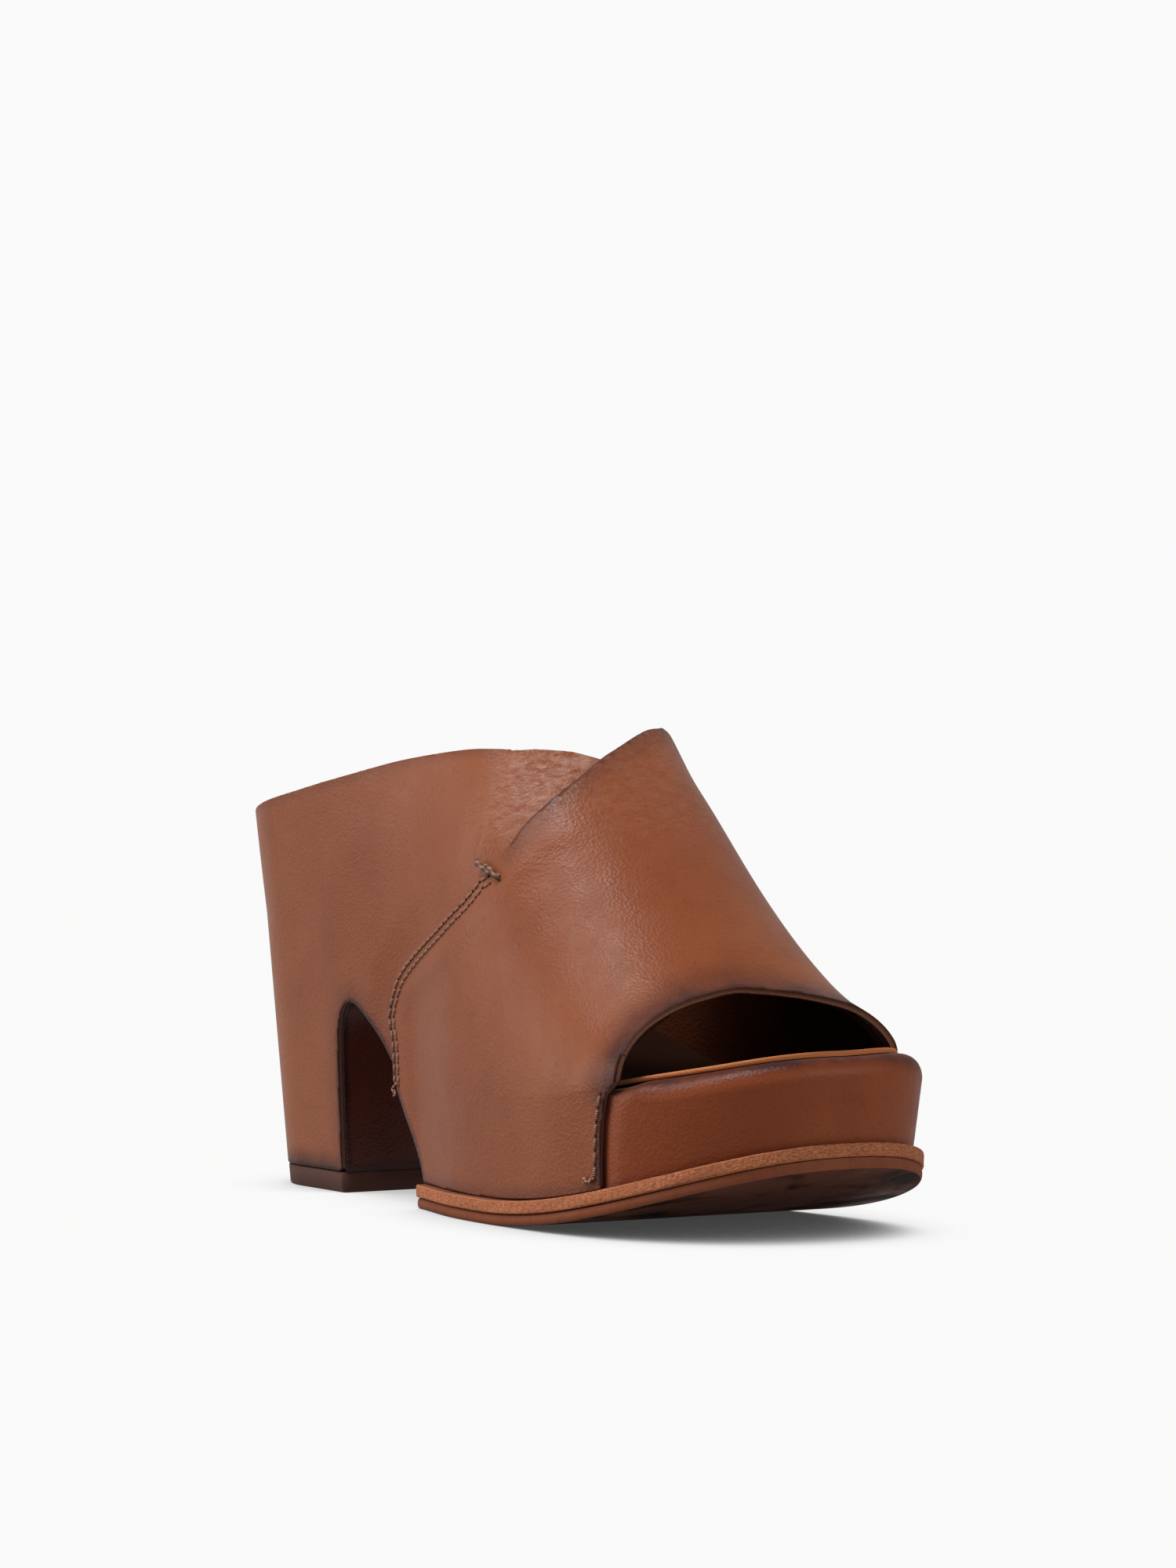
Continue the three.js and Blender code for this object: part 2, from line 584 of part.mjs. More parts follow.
add('sole_filler', soleFiller(), fibreboard);
add('outsole', outsole(), rubber);
add('quarter_stitch_row_1', quarterRow(1.7), brownThread);
add('quarter_stitch_row_2', quarterRow(4.2), brownThread);
add('bar_tack', barTack(), brownThread);
add('toe_stitch_row_outer', toeRow(-1, 0), brownThread);
add('toe_stitch_row_inner', toeRow(1, medialShift), brownThread);
add('back_stitch_row', backRow(), brownThread);

// The origin is on the ground under the middle of the whole clog.
const box = new THREE.Box3().setFromObject(clog);
const middle = box.getCenter(new THREE.Vector3());
clog.position.set(-middle.x, -middle.y, -box.min.z);
clog.updateMatrixWorld(true);

export default clog;
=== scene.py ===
# %% [markdown]
# # A leather-wrapped platform clog
#
# The clog is a wooden platform and block heel, wrapped in two leather panels that cross over the
# instep. The packed model gives the exact frame. Its pieces could be shown as they are, but they are
# plain solids, so every leather, rubber and thread surface that shows is made again here in fine
# detail. The hidden wood, screws and boards keep their packed shape.

import bpy
import numpy as np
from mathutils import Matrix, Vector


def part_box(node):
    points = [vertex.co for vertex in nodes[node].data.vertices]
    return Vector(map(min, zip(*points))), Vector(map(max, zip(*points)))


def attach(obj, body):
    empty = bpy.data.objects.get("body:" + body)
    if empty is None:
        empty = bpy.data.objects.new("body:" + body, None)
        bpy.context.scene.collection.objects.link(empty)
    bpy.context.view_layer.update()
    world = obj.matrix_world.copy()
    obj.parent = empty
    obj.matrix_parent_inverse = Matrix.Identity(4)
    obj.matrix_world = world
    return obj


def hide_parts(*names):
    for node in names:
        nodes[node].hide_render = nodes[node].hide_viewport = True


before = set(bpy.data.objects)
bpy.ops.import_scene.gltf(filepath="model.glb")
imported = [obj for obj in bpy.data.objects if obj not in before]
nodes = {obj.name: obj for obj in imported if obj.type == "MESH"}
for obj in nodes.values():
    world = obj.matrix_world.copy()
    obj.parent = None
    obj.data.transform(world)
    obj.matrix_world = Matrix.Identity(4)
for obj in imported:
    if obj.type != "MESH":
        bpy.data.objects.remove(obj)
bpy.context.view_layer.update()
print("nodes in the frame:", len(nodes))

# %% [markdown]
# ## One set of axes for every piece
#
# A shoemaker measures along the last: x across the foot, v from the back of the heel to the toe, and z
# up from the ground, all in millimetres. The steel shank is centred on x = 0 and starts 42 mm from the
# back of the heel, so its box ties these axes to the frame. Points could be typed in metres at once,
# but a maker's own axes keep the numbers readable.

# %% From the last's axes to the frame
MM = 0.001
SHANK_START = 42.0
shank_low, shank_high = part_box("shank")
MIDDLE_X = (shank_low[0] + shank_high[0]) / 2
HEEL_BACK_Y = shank_high[1] + SHANK_START * MM


def to_frame(points):
    """Turns (x, v, z) in millimetres into metres in the frame: v runs backwards along Y."""
    p = np.asarray(points, float)
    return np.stack([MIDDLE_X + p[..., 0] * MM, HEEL_BACK_Y - p[..., 1] * MM, p[..., 2] * MM], -1)


print("heel back at y =", round(HEEL_BACK_Y, 4), "m")

# %% [markdown]
# ## The camera
#
# The shoe is seen from in front, turned 31 degrees to its outer side. The camera is level and stands
# 112 mm above the ground. It could be tilted down at the shoe, but a level camera keeps upright edges
# upright.

# %% Set the camera
scene = bpy.context.scene
TURN = np.radians(31.491)
TILT = np.radians(2.414)
DISTANCE = 1241.1
AIM = np.array([0.0, 130.0, 60.0])
away = np.array([-np.sin(TURN) * np.cos(TILT), np.cos(TURN) * np.cos(TILT), np.sin(TILT)])
camera_data = bpy.data.cameras.new("camera")
camera_data.sensor_width = 36.0
camera_data.lens = 107.33
camera_data.clip_start = 0.05
camera_data.clip_end = 20.0
camera = bpy.data.objects.new("camera", camera_data)
camera.location = to_frame(AIM + away * DISTANCE)
camera.rotation_euler = (np.pi / 2, 0.0, -TURN - np.radians(0.16))
scene.collection.objects.link(camera)
scene.camera = camera
print("camera at", [round(float(c), 3) for c in camera.location])

# %% [markdown]
# ## Smooth curves through a few knots
#
# Most measures of a last change slowly from heel to toe. Each could be a curve object, drawn by hand,
# but a short list of knots joined by a smooth cubic lets the whole form be read from a few lines.

# %% Curves, steps and distances


def knots(points):
    """A cubic through [place, value] knots: each slope is the chord between its neighbours."""
    x, y = np.array(points, float).T
    low = np.maximum(np.arange(len(x)) - 1, 0)
    high = np.minimum(np.arange(len(x)) + 1, len(x) - 1)
    slope = (y[high] - y[low]) / (x[high] - x[low])

    def value(at):
        at = np.clip(at, x[0], x[-1])
        i = np.clip(np.searchsorted(x, at, side="right") - 1, 0, len(x) - 2)
        h = x[i + 1] - x[i]
        t = (at - x[i]) / h
        start = (1 + 2 * t) * (1 - t) ** 2 * y[i] + t * (1 - t) ** 2 * h * slope[i]
        return start + t * t * (3 - 2 * t) * y[i + 1] + t * t * (t - 1) * h * slope[i + 1]

    return value


def smooth(t):
    """An S-shaped step from 0 to 1: 3t squared less 2t cubed, held flat outside."""
    t = np.clip(t, 0, 1)
    return t * t * (3 - 2 * t)


def spline(points, steps=8):
    """A Catmull-Rom line through every point, with this many steps between two of them."""
    p = np.array(points, float)
    p = np.vstack([2 * p[0] - p[1], p, 2 * p[-1] - p[-2]])
    t = np.linspace(0, 1, steps, endpoint=False)[:, None, None]
    a, b, c, d = p[:-3], p[1:-2], p[2:-1], p[3:]
    q = b + 0.5 * t * (c - a) + t**2 * (a - 2.5 * b + 2 * c - 0.5 * d)
    q += t**3 * (1.5 * (b - c) + 0.5 * (d - a))
    return np.vstack([q.transpose(1, 0, 2).reshape(-1, p.shape[1]), p[-2]])


print("a smooth step at a quarter of the way:", round(float(smooth(0.25)), 3))

# %% [markdown]
# ## Distances in the plane
#
# A mark on leather is a line, and what counts is how far each point lies from it. A shrinkwrap could
# find that too, but plain numbers can be added, blended and compared, so two short helpers do it.

# %% Distance to a line and to an outline


def line_distance(points, line):
    """The least distance from each point to any segment of a line."""
    best = np.full(len(points), 1e9)
    for a, b in zip(line[:-1], line[1:]):
        ab = b - a
        t = np.clip((points - a) @ ab / max(ab @ ab, 1e-9), 0, 1)
        best = np.minimum(best, np.linalg.norm(points - a - t[:, None] * ab, axis=1))
    return best


def inside(points, outline):
    """The distance to a closed outline, positive inside it, found by counting the edges it crosses."""
    a = np.asarray(outline, float)
    b = np.roll(a, -1, axis=0)
    crossings = np.zeros(len(points), int)
    for p, q in zip(a, b):
        spans = (p[1] > points[:, 1]) != (q[1] > points[:, 1])
        rise = np.where(q[1] == p[1], 1e-9, q[1] - p[1])
        at = p[0] + (points[:, 1] - p[1]) * (q[0] - p[0]) / rise
        crossings += spans & (points[:, 0] < at)
    distance = line_distance(points, np.vstack([a, a[:1]]))
    return np.where(crossings % 2 == 1, distance, -distance)


unit_square = [(0, 0), (1, 0), (1, 1), (0, 1)]
print("the middle of a unit square lies", inside(np.array([[0.5, 0.5]]), unit_square)[0], "inside")

# %% [markdown]
# ## The last
#
# The leather takes its shape from the last and the platform under it. The rim is the line where the
# footbed meets the wall: below it the wall leans in to the ground, and above it each cross-section is
# a superellipse that closes over the foot at the ridge. A scan could give the same form, but knots along
# the shoe say what each measure is.

# %% Measures of the last
SHOE_LENGTH = 251.0
HEEL_END = 34.0
TOE_START = 176.0
HEEL_RIM = 76.0
BALL_RIM = 33.0
centre = knots([(0, 0), (60, 0), (110, 1), (176, 1.5), (215, 2.5), (251, 6)])
outside_width = knots([(0, 36.6), (60, 37), (105, 37.5), (140, 44), (176, 45.5), (251, 45)])
inside_width = knots([(0, 36.6), (60, 36), (105, 32), (145, 38), (180, 43), (215, 46.7), (251, 46.7)])
toe_rim = knots([(150, 0), (190, 1.5), (214, 5.6), (231, 8.8), (242, 11.6), (251, 14.2)])
ridge = knots([(0, 217), (70, 172), (110, 137), (130, 114), (146, 94), (159, 81), (175, 64.5), (187, 53),
               (200, 41), (211, 30.5), (230, 20), (251, 15)])
ridge_x = knots([(0, 0), (60, 2), (110, 6), (150, 7), (200, 4), (251, 4)])
squareness = knots([(0, 2.4), (100, 2.4), (150, 2.3), (200, 1.85), (218, 2.2), (251, 2.2)])
flare = knots([(0, 0.125), (40, 0.112), (90, 0.054), (130, 0), (251, 0)])
BALL = 155.0
TOE_SPRING = 19.0
WELT_HEIGHT = 6.7


def spring(v):
    """The sole's lift: flat to the ball, then a parabola up to 19 mm at the toe tip."""
    return TOE_SPRING * (np.maximum(0, v - BALL) / (SHOE_LENGTH - BALL)) ** 2


def rim(v):
    """The footbed rim's height: an S-shaped ramp from the heel down to the ball, then up at the toe."""
    return BALL_RIM + (HEEL_RIM - BALL_RIM) * smooth((172.0 - v) / 150.0) + toe_rim(v)


def lean(v, facing):
    """How far the wall leans in for each millimetre below the rim; facing is 1 at the toe tip."""
    return 0.085 - 0.04 * smooth((v - 50.0) / 60.0) + 0.05 * np.maximum(facing, 0) ** 2


def sole_top(v):
    """The height where the wrapped wall stands on the welt: the spring plus the sole and the welt."""
    return spring(v) + WELT_HEIGHT


print("rim at heel and toe:", [round(float(rim(v)), 1) for v in (0.0, SHOE_LENGTH)], "mm")

# %% [markdown]
# ## Stations along the last
#
# A last has blunt, round ends. They could be cut from a longer form, but that leaves sharp corners, so
# stations are packed towards both ends and the width shrinks there as a superellipse does.

# %% Stations along the last


def stations(n_heel, n_middle, n_toe):
    """Places along v and the share of the width at each: quarter superellipses close both ends."""
    a = np.linspace(np.pi / 2, 0, n_heel + 1)[:-1]
    b = np.linspace(0, np.pi / 2, n_toe + 1)
    heel_v = HEEL_END * (1 - np.sin(a) ** 0.93)
    middle_v = np.linspace(HEEL_END, TOE_START, n_middle + 1)[:-1]
    toe_v = TOE_START + (SHOE_LENGTH - TOE_START) * np.sin(b) ** 0.816
    share = np.concatenate([np.cos(a) ** 0.93, np.ones(n_middle), np.abs(np.cos(b)) ** 0.816])
    share[0] = share[-1] = 0
    return np.concatenate([heel_v, middle_v, toe_v]), share


def rim_line(v, share, side):
    """The rim's x on one side (-1 outer, 1 inner) and its outward direction in plan."""
    width = outside_width(v) if side < 0 else inside_width(v)
    x = centre(v) + side * share * width
    direction = np.stack([np.gradient(v), -np.gradient(x)], -1) * side
    direction[0] = (0, -1)
    direction[-1] = (0, 1)
    return x, direction / np.linalg.norm(direction, axis=1)[:, None]


print("three stations near the heel:", stations(48, 130, 84)[0][:3].round(2))

# %% [markdown]
# ## The form that the leather takes
#
# On the real clog damp leather is pulled over the last and dries to its shape. The form could be
# sculpted, but a grid worked out from the measures stays smooth and can be changed by one number. One
# sheet runs up the outer side, over the ridge and down the inner side.

# %% The form of the wrap


def form_side(v, share, side, wall_rows, over_rows, top=135.0):
    """Points of one side: wall rows up to the rim, then a superellipse up to the ridge or to top."""
    x, out = rim_line(v, share, side)
    z_rim = rim(v)
    lift = np.linspace(0, 1, wall_rows)[None, :]
    z = 3.0 + spring(v)[:, None] + (z_rim - 3.0 - spring(v))[:, None] * lift
    shift = -lean(v, out[:, 1])[:, None] * (z_rim[:, None] - z)
    wall = np.stack([x[:, None] + out[:, :1] * shift, v[:, None] + out[:, 1:] * shift, z], -1)
    z_top = np.maximum(BALL_RIM + ridge(v), z_rim + 1)
    power = 2 / squareness(v)
    reach = np.clip((top - z_rim) / (z_top - z_rim), 0, 1)
    t = np.arcsin(reach ** (1 / power))[:, None] * np.linspace(0, 1, over_rows + 1)[None, 1:]
    c = np.cos(t).clip(0) ** power[:, None]
    c[np.cos(t) < 1e-9] = 0
    z = z_rim[:, None] + (z_top - z_rim)[:, None] * np.sin(t) ** power[:, None]
    shift = flare(v)[:, None] * np.minimum(z - z_rim[:, None], 60) * c
    top_x = (ridge_x(v) * share + centre(v) * (1 - share))[:, None]
    over_x = top_x + (x[:, None] - top_x) * c + out[:, :1] * shift
    over = np.stack([over_x, v[:, None] + out[:, 1:] * shift, z], -1)
    return np.concatenate([wall, over], 1)


def grid_normals(grid):
    """Outward directions of a grid: the cross product of its two differences."""
    n = np.cross(np.gradient(grid, axis=0), np.gradient(grid, axis=1))
    return n / np.maximum(np.linalg.norm(n, axis=-1), 1e-12)[..., None]


def wrap_form():
    """The whole form as one sheet: up the outer side, over the ridge and down the inner side."""
    v, share = stations(48, 130, 84)
    outer = form_side(v, share, -1, 52, 78)
    inner = form_side(v, share, 1, 52, 78)
    grid = np.concatenate([outer, inner[:, -2::-1]], 1)
    normals = grid_normals(grid)
    mirrored = normals[:, ::-1] * (-1, 1, 1)
    for end in (0, -1):
        normals[end] = normals[end] + mirrored[end]
        normals[end] /= np.maximum(np.linalg.norm(normals[end], axis=-1), 1e-9)[:, None]
    side = np.sign((normals * (grid - (0, 120, 60))).sum(-1).mean())
    return grid, normals * side


form, form_normals = wrap_form()
print("wrap form:", form.shape[:2], "points, widest", round(float(np.ptp(form[..., 0])), 1), "mm")

# %% [markdown]
# ## The edges a cutter would mark
#
# A panel is cut flat from a hide. It could be modelled flat and wrapped by a cloth simulation, but its
# edges are easiest to place on the last. The top edge, the arch and the seams are drawn in side view as
# (v, z), and the edges that cross the instep or the toe from above as (x, v). Leather is then kept on
# one side of each line.

# %% The marked lines
TOP_PIECE = 5.7
topline = spline([(-8, 87), (2, 91), (14, 103), (29, 107.3), (53, 111.2), (78, 115.2), (101, 119),
                  (124, 121.3), (135, 121.5)])
inner_topline = np.vstack([topline, [(142.5, 127.0)]])
topline = np.vstack([topline, [(137.4, 121.3), (138.4, 123), (141, 135)]])
corner_run = spline([(-24.7, 137.2), (-21.8, 140.4), (-16.5, 144.6), (-10.2, 148.5), (-4, 152.4), (6, 158)])
rear_corner = np.vstack([[(-12, 60), (-12, 128)], corner_run])
free_run = spline([(-30, 151.2), (-22.4, 153.7), (-13.5, 154.2), (-3.7, 152), (2.5, 150.1), (15, 145),
                   (19.1, 142.5)])
free_edge = np.vstack([[(-60, 151.2)], free_run])
peak = np.array([(25, 139), (28, 133), (29, 120), (29, -60)], float)
seam = spline([(95, 5), (94.8, 29), (95, 42), (93.4, 49.5), (95.7, 55.5), (100.8, 62.2), (110.8, 68.3),
               (126.9, 75.6), (139, 82.6), (144, 88), (147, 90), (151.2, 99.6)], 6)
arch = spline([(59.5, 6), (61.2, 27), (63, 43), (66, 50.3), (71.5, 53), (78, 50.3), (88, 42), (97, 30),
               (104, 20.5), (109, 12), (111.2, 6.5)])
TOE_SEAM = np.array([(207, 0), (207.9, 20), (209, 29.7), (210.6, 36), (213.8, 39.2), (214.5, 60)])
INNER_TOE_SEAM = np.array([(206.5, 0), (207.4, 20), (208.5, 29.7), (210.1, 36), (212, 40), (215, 44.5),
                           (216.5, 50), (217.5, 60)])
mouth_run = spline([(-40, 213.6), (-35, 216), (-27, 216.6), (-15.6, 214.8), (-5, 214.1), (3, 215),
                    (12, 216.2), (22, 216.8), (30, 216.2), (37, 215.6), (43, 215.6)])
mouth = np.vstack([[(-90, 213.4)], mouth_run, [(90, 215.8)]])
under_v = np.linspace(112.0, 290.0, 60)
sole_line = np.stack([under_v, sole_top(under_v)], -1)
underneath = np.vstack([[(-60, -60), (-60, TOP_PIECE + 0.3)], arch, sole_line, [(290, -60)]])
print("marked lines:", len(topline), "points on the top edge,", len(seam), "on the side seam")

# %% [markdown]
# ## Distances to the marks
#
# A cutter follows a line with a knife. A boolean cut could do the same to a mesh, but it leaves slivers
# on thin sheets. Here every mark becomes a distance, positive where the leather stays, and the least of
# several distances is the panel.

# %% How far a point lies inside each marked area


def behind_seam(p):
    """Distance behind the side seam below, and behind the free edge above, blended near z = 97 mm."""
    low = np.vstack([seam, [(155, 110), (150, 300), (-60, 300), (-60, -60), (95, -60)]])
    high = np.vstack([free_edge, peak, [(-60, -60)]])
    side_view = np.where(p[:, 0] < 0, inside(p[:, 1:], low), -60.0)
    from_above = inside(p[:, :2], high)
    mix = smooth((p[:, 2] - 94.0) / 6.0)
    return side_view * (1 - mix) + from_above * mix


def both(a, b, blend=1.5):
    """The lesser of two distances, rounded where they meet: the corner is eased over the blend."""
    h = np.clip(blend - np.abs(a - b), 0, None) / blend
    return np.minimum(a, b) - h * h * blend / 4


def below_topline(p, line):
    """Distance under the side-view top edge; ahead of its end nothing is cut."""
    opening = np.vstack([[(-60, 87)], line, [(line[-1, 0], 400), (-60, 400)]])
    return -inside(p[:, 1:], opening)


def behind_toe_seam(p):
    """Distance behind the toe seam of the side that the point is on."""
    sides = []
    for line in (TOE_SEAM, INNER_TOE_SEAM):
        area = np.vstack([line, [(line[-1, 0], 400), (-60, 400), (-60, -60), (line[0, 0], -60)]])
        sides.append(inside(p[:, 1:], area))
    return np.where(p[:, 0] < 0, sides[0], sides[1])


def behind_mouth(p):
    """Distance behind the toe opening, drawn from above."""
    area = np.vstack([mouth, [(90, -60), (-90, -60)]])
    return inside(p[:, :2], area)


ridge_point = np.array([[0.0, 200.0, 60.0]])
print("the ridge at v = 200 is", round(float(behind_mouth(ridge_point)[0]), 1), "mm behind the mouth")

# %% [markdown]
# ## From a marked sheet to a cut one
#
# A knife leaves a clean line. A Mask modifier could drop whole triangles outside the mark, but its edge
# is a saw. Cutting here keeps the triangles inside and splits the ones that straddle the mark, exactly
# where the distance is zero.

# %% Cutting a sheet
SLIVER = 0.08


def grid_triangles(rows, columns, wrap=False):
    """Two triangles for each square of a grid; wrap joins the last column to the first."""
    i, j = np.meshgrid(np.arange(rows - 1), np.arange(columns if wrap else columns - 1), indexing="ij")
    a, b = i * columns + j, (i + 1) * columns + j
    c, d = (i + 1) * columns + (j + 1) % columns, i * columns + (j + 1) % columns
    return np.concatenate([np.stack([a, b, c], -1).reshape(-1, 3), np.stack([a, c, d], -1).reshape(-1, 3)])


def cut(points, data, triangles, keep):
    """Keeps what has keep above zero; new points lie where it is zero, and carry blended data."""
    keep = np.where(np.abs(keep) < SLIVER, 0.0, keep)
    kept = keep >= 0
    count = kept[triangles].sum(1)
    whole = triangles[count == 3]
    pairs, pieces = [], []
    for n, odd_is_kept in ((1, True), (2, False)):
        t = triangles[count == n]
        first = (kept[t] == odd_is_kept).argmax(1)
        t = np.stack([t[np.arange(len(t)), (first + k) % 3] for k in range(3)], -1)
        pairs += [t[:, [0, 1]], t[:, [0, 2]]]
        pieces.append(t)
    ends = np.concatenate(pairs)
    edge, where = np.unique(np.sort(ends, 1), axis=0, return_inverse=True)
    a, b = edge.T
    share = (keep[a] / (keep[a] - keep[b]))[:, None]
    new_points = points[a] + share * (points[b] - points[a])
    new_data = data[a] + share * (data[b] - data[a])
    new_id = len(points) + where.reshape(-1)
    one, two = pieces
    n1, n2 = len(one), len(two)
    p1, q1 = new_id[:n1], new_id[n1:2 * n1]
    p2, q2 = new_id[2 * n1:2 * n1 + n2], new_id[2 * n1 + n2:]
    corner = np.stack([one[:, 0], p1, q1], -1)
    quad = [np.stack([p2, two[:, 1], two[:, 2]], -1), np.stack([p2, two[:, 2], q2], -1)]
    faces = np.concatenate([whole, corner, *quad])
    points, data = np.concatenate([points, new_points]), np.concatenate([data, new_data])
    used, faces = np.unique(faces, return_inverse=True)
    return points[used], data[used], faces.reshape(-1, 3)


print("a 3 x 3 grid has", len(grid_triangles(3, 3)), "triangles")

# %% [markdown]
# ## From a cut sheet to leather with an edge
#
# Real leather shows its thickness wherever it ends. A Solidify modifier could add it, but its edges are
# square and its thickness is even, while a shoemaker skives leather thin under a lap. So the inner face
# and a rounded edge are added here, with a thickness for each point.

# %% Giving it thickness


def open_edges(triangles):
    """The directed edges that only one triangle uses."""
    e = np.concatenate([triangles[:, [0, 1]], triangles[:, [1, 2]], triangles[:, [2, 0]]])
    n = triangles.max() + 1
    code, back = e[:, 0].astype(np.int64) * n + e[:, 1], e[:, 1].astype(np.int64) * n + e[:, 0]
    return e[~np.isin(code, back)]


def thicken(points, normals, triangles, thickness, bulge=0.3, rows=3):
    """Adds the inner face and a rounded edge: half a circle squeezed to bulge of its depth."""
    n = len(points)
    edges = open_edges(triangles)
    along = points[edges[:, 1]] - points[edges[:, 0]]
    outward = np.cross(along, normals[edges[:, 0]])
    total = np.zeros_like(points)
    np.add.at(total, edges[:, 0], outward)
    np.add.at(total, edges[:, 1], outward)
    rim_ids = np.unique(edges)
    out = total[rim_ids] / np.maximum(np.linalg.norm(total[rim_ids], axis=1), 1e-9)[:, None]
    half = thickness[rim_ids, None] / 2
    layers = [points, points - normals * thickness[:, None]]
    slot = np.zeros(n, int)
    slot[rim_ids] = np.arange(len(rim_ids))
    ids = [edges]
    for k in range(rows):
        angle = np.pi * (k + 1) / (rows + 1)
        down = normals[rim_ids] * half * (1 - np.cos(angle))
        layers.append(points[rim_ids] - down + out * half * bulge * 2 * np.sin(angle))
        ids.append(2 * n + k * len(rim_ids) + slot[edges])
    ids.append(edges + n)
    faces = [triangles, triangles[:, ::-1] + n]
    for upper, lower in zip(ids[:-1], ids[1:]):
        faces.append(np.stack([upper[:, 1], upper[:, 0], lower[:, 0]], -1))
        faces.append(np.stack([upper[:, 1], lower[:, 0], lower[:, 1]], -1))
    source = np.concatenate([np.arange(n), np.arange(n), np.tile(rim_ids, rows)])
    on_edge = np.concatenate([np.zeros(n), np.ones(n) * 2, np.ones(rows * len(rim_ids))])
    return np.concatenate(layers), np.concatenate(faces), source, on_edge


print("a single triangle has", len(open_edges(np.array([[0, 1, 2]]))), "open edges")

# %% [markdown]
# ## One way into the scene
#
# Every piece could be added by hand, but each then has its own chance of a slip. One helper turns
# millimetres into metres, keeps the faces outward, stores the numbers that the finish reads, and hides
# the packed pieces that the new one stands for.

# %% Putting a mesh into the scene


def add_piece(name, points, faces, material, replaced, slot_name, **attributes):
    """Makes a mesh from millimetre points, rides it on the clog and hides the packed pieces it stands for."""
    mesh = bpy.data.meshes.new(name)
    placed = to_frame(points)
    faces = np.asarray(faces)
    a, b, c = (placed[faces[:, k]] for k in range(3))
    if (a * np.cross(b, c)).sum() < 0:
        faces = faces[:, ::-1]
    mesh.from_pydata(placed.tolist(), [], faces.tolist())
    for key, values in attributes.items():
        layer = mesh.attributes.new(key, "FLOAT", "POINT")
        layer.data.foreach_set("value", np.asarray(values, np.float32))
    mesh.shade_smooth()
    mesh.materials.append(material)
    piece = bpy.data.objects.new(name, mesh)
    scene.collection.objects.link(piece)
    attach(piece, "root")
    if replaced:
        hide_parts(*replaced)
    print(f"{name}: {len(points)} points, {len(faces)} faces")
    return piece


print("meshes so far:", len(bpy.data.meshes))

# %% [markdown]
# ## Writing a finish in few words
#
# A finish is a tree of nodes. It could be drawn in the shader editor, but a script of raw nodes is long
# and hard to read. This small class adds a node, joins it and hands back its output, so a material
# reads like a recipe. Everything is laid on Object coordinates, and the piece is never moved.

# %% Node helpers


class Nodes:
    """A short way to write a material's nodes."""

    def __init__(self, name):
        self.material = bpy.data.materials.new(name)
        self.material.use_nodes = True
        self.tree = self.material.node_tree
        self.tree.nodes.clear()
        self.out = self.add("ShaderNodeOutputMaterial")
        self.shader = self.add("ShaderNodeBsdfPrincipled")
        self.link(self.shader.outputs[0], self.out.inputs["Surface"])
        self.place = self.add("ShaderNodeTexCoord").outputs["Object"]

    def add(self, kind, **values):
        """A new node with these settings."""
        node = self.tree.nodes.new(kind)
        for key, value in values.items():
            setattr(node, key, value)
        return node

    def link(self, a, b):
        """Joins an output to an input."""
        self.tree.links.new(a, b)

    def put(self, socket, value):
        """Links a socket, or sets a plain number or colour on it."""
        if isinstance(value, bpy.types.NodeSocket):
            self.link(value, socket)
        else:
            socket.default_value = value

    def attribute(self, name):
        """A number stored on the piece's points."""
        return self.add("ShaderNodeAttribute", attribute_name=name).outputs["Fac"]

    def math(self, operation, a, b=0.0):
        """Sums, products and waves of one or two values."""
        node = self.add("ShaderNodeMath", operation=operation)
        self.put(node.inputs[0], a)
        self.put(node.inputs[1], b)
        return node.outputs[0]

    def noise(self, scale, detail=3.0, roughness=0.5, stretch=(1, 1, 1), distortion=0.0):
        """Cloudy noise; a stretch below 1 draws it out along that axis."""
        mapping = self.add("ShaderNodeMapping")
        mapping.inputs["Scale"].default_value = stretch
        self.link(self.place, mapping.inputs["Vector"])
        node = self.add("ShaderNodeTexNoise")
        node.inputs["Scale"].default_value = scale
        node.inputs["Detail"].default_value = detail
        node.inputs["Roughness"].default_value = roughness
        node.inputs["Distortion"].default_value = distortion
        self.link(mapping.outputs[0], node.inputs["Vector"])
        return node.outputs["Fac"]

    def cells(self, scale):
        """Round cells: the distance to the nearest of many scattered points."""
        node = self.add("ShaderNodeTexVoronoi")
        node.inputs["Scale"].default_value = scale
        self.link(self.place, node.inputs["Vector"])
        return node.outputs["Distance"]

    def ramp(self, value, low, high, a=0.0, b=1.0):
        """An S-shaped rise from a to b while the value goes from low to high."""
        node = self.add("ShaderNodeMapRange", interpolation_type="SMOOTHSTEP")
        self.put(node.inputs["Value"], value)
        for key, number in (("From Min", low), ("From Max", high), ("To Min", a), ("To Max", b)):
            node.inputs[key].default_value = number
        return node.outputs[0]

    def mix(self, share, a, b):
        """Colour a, turning into b as the share goes from 0 to 1."""
        node = self.add("ShaderNodeMix", data_type="RGBA")
        self.put(node.inputs[0], share)
        for socket, colour in ((node.inputs[6], a), (node.inputs[7], b)):
            self.put(socket, colour if isinstance(colour, bpy.types.NodeSocket) else (*colour, 1.0))
        return node.outputs[2]

    def bump(self, height, strength, depth, before=None):
        """Tilts the surface by a height, on top of the bump before."""
        node = self.add("ShaderNodeBump")
        node.inputs["Strength"].default_value = strength
        node.inputs["Distance"].default_value = depth
        self.put(node.inputs["Height"], height)
        if before:
            self.link(before, node.inputs["Normal"])
        return node.outputs[0]

    def finish(self, colour, roughness, normal=None):
        """Joins colour, roughness and bump to the shader and gives the material."""
        self.put(self.shader.inputs["Base Color"], colour)
        self.put(self.shader.inputs["Roughness"], roughness)
        if normal:
            self.link(normal, self.shader.inputs["Normal"])
        return self.material


print("finishes so far:", len(bpy.data.materials))
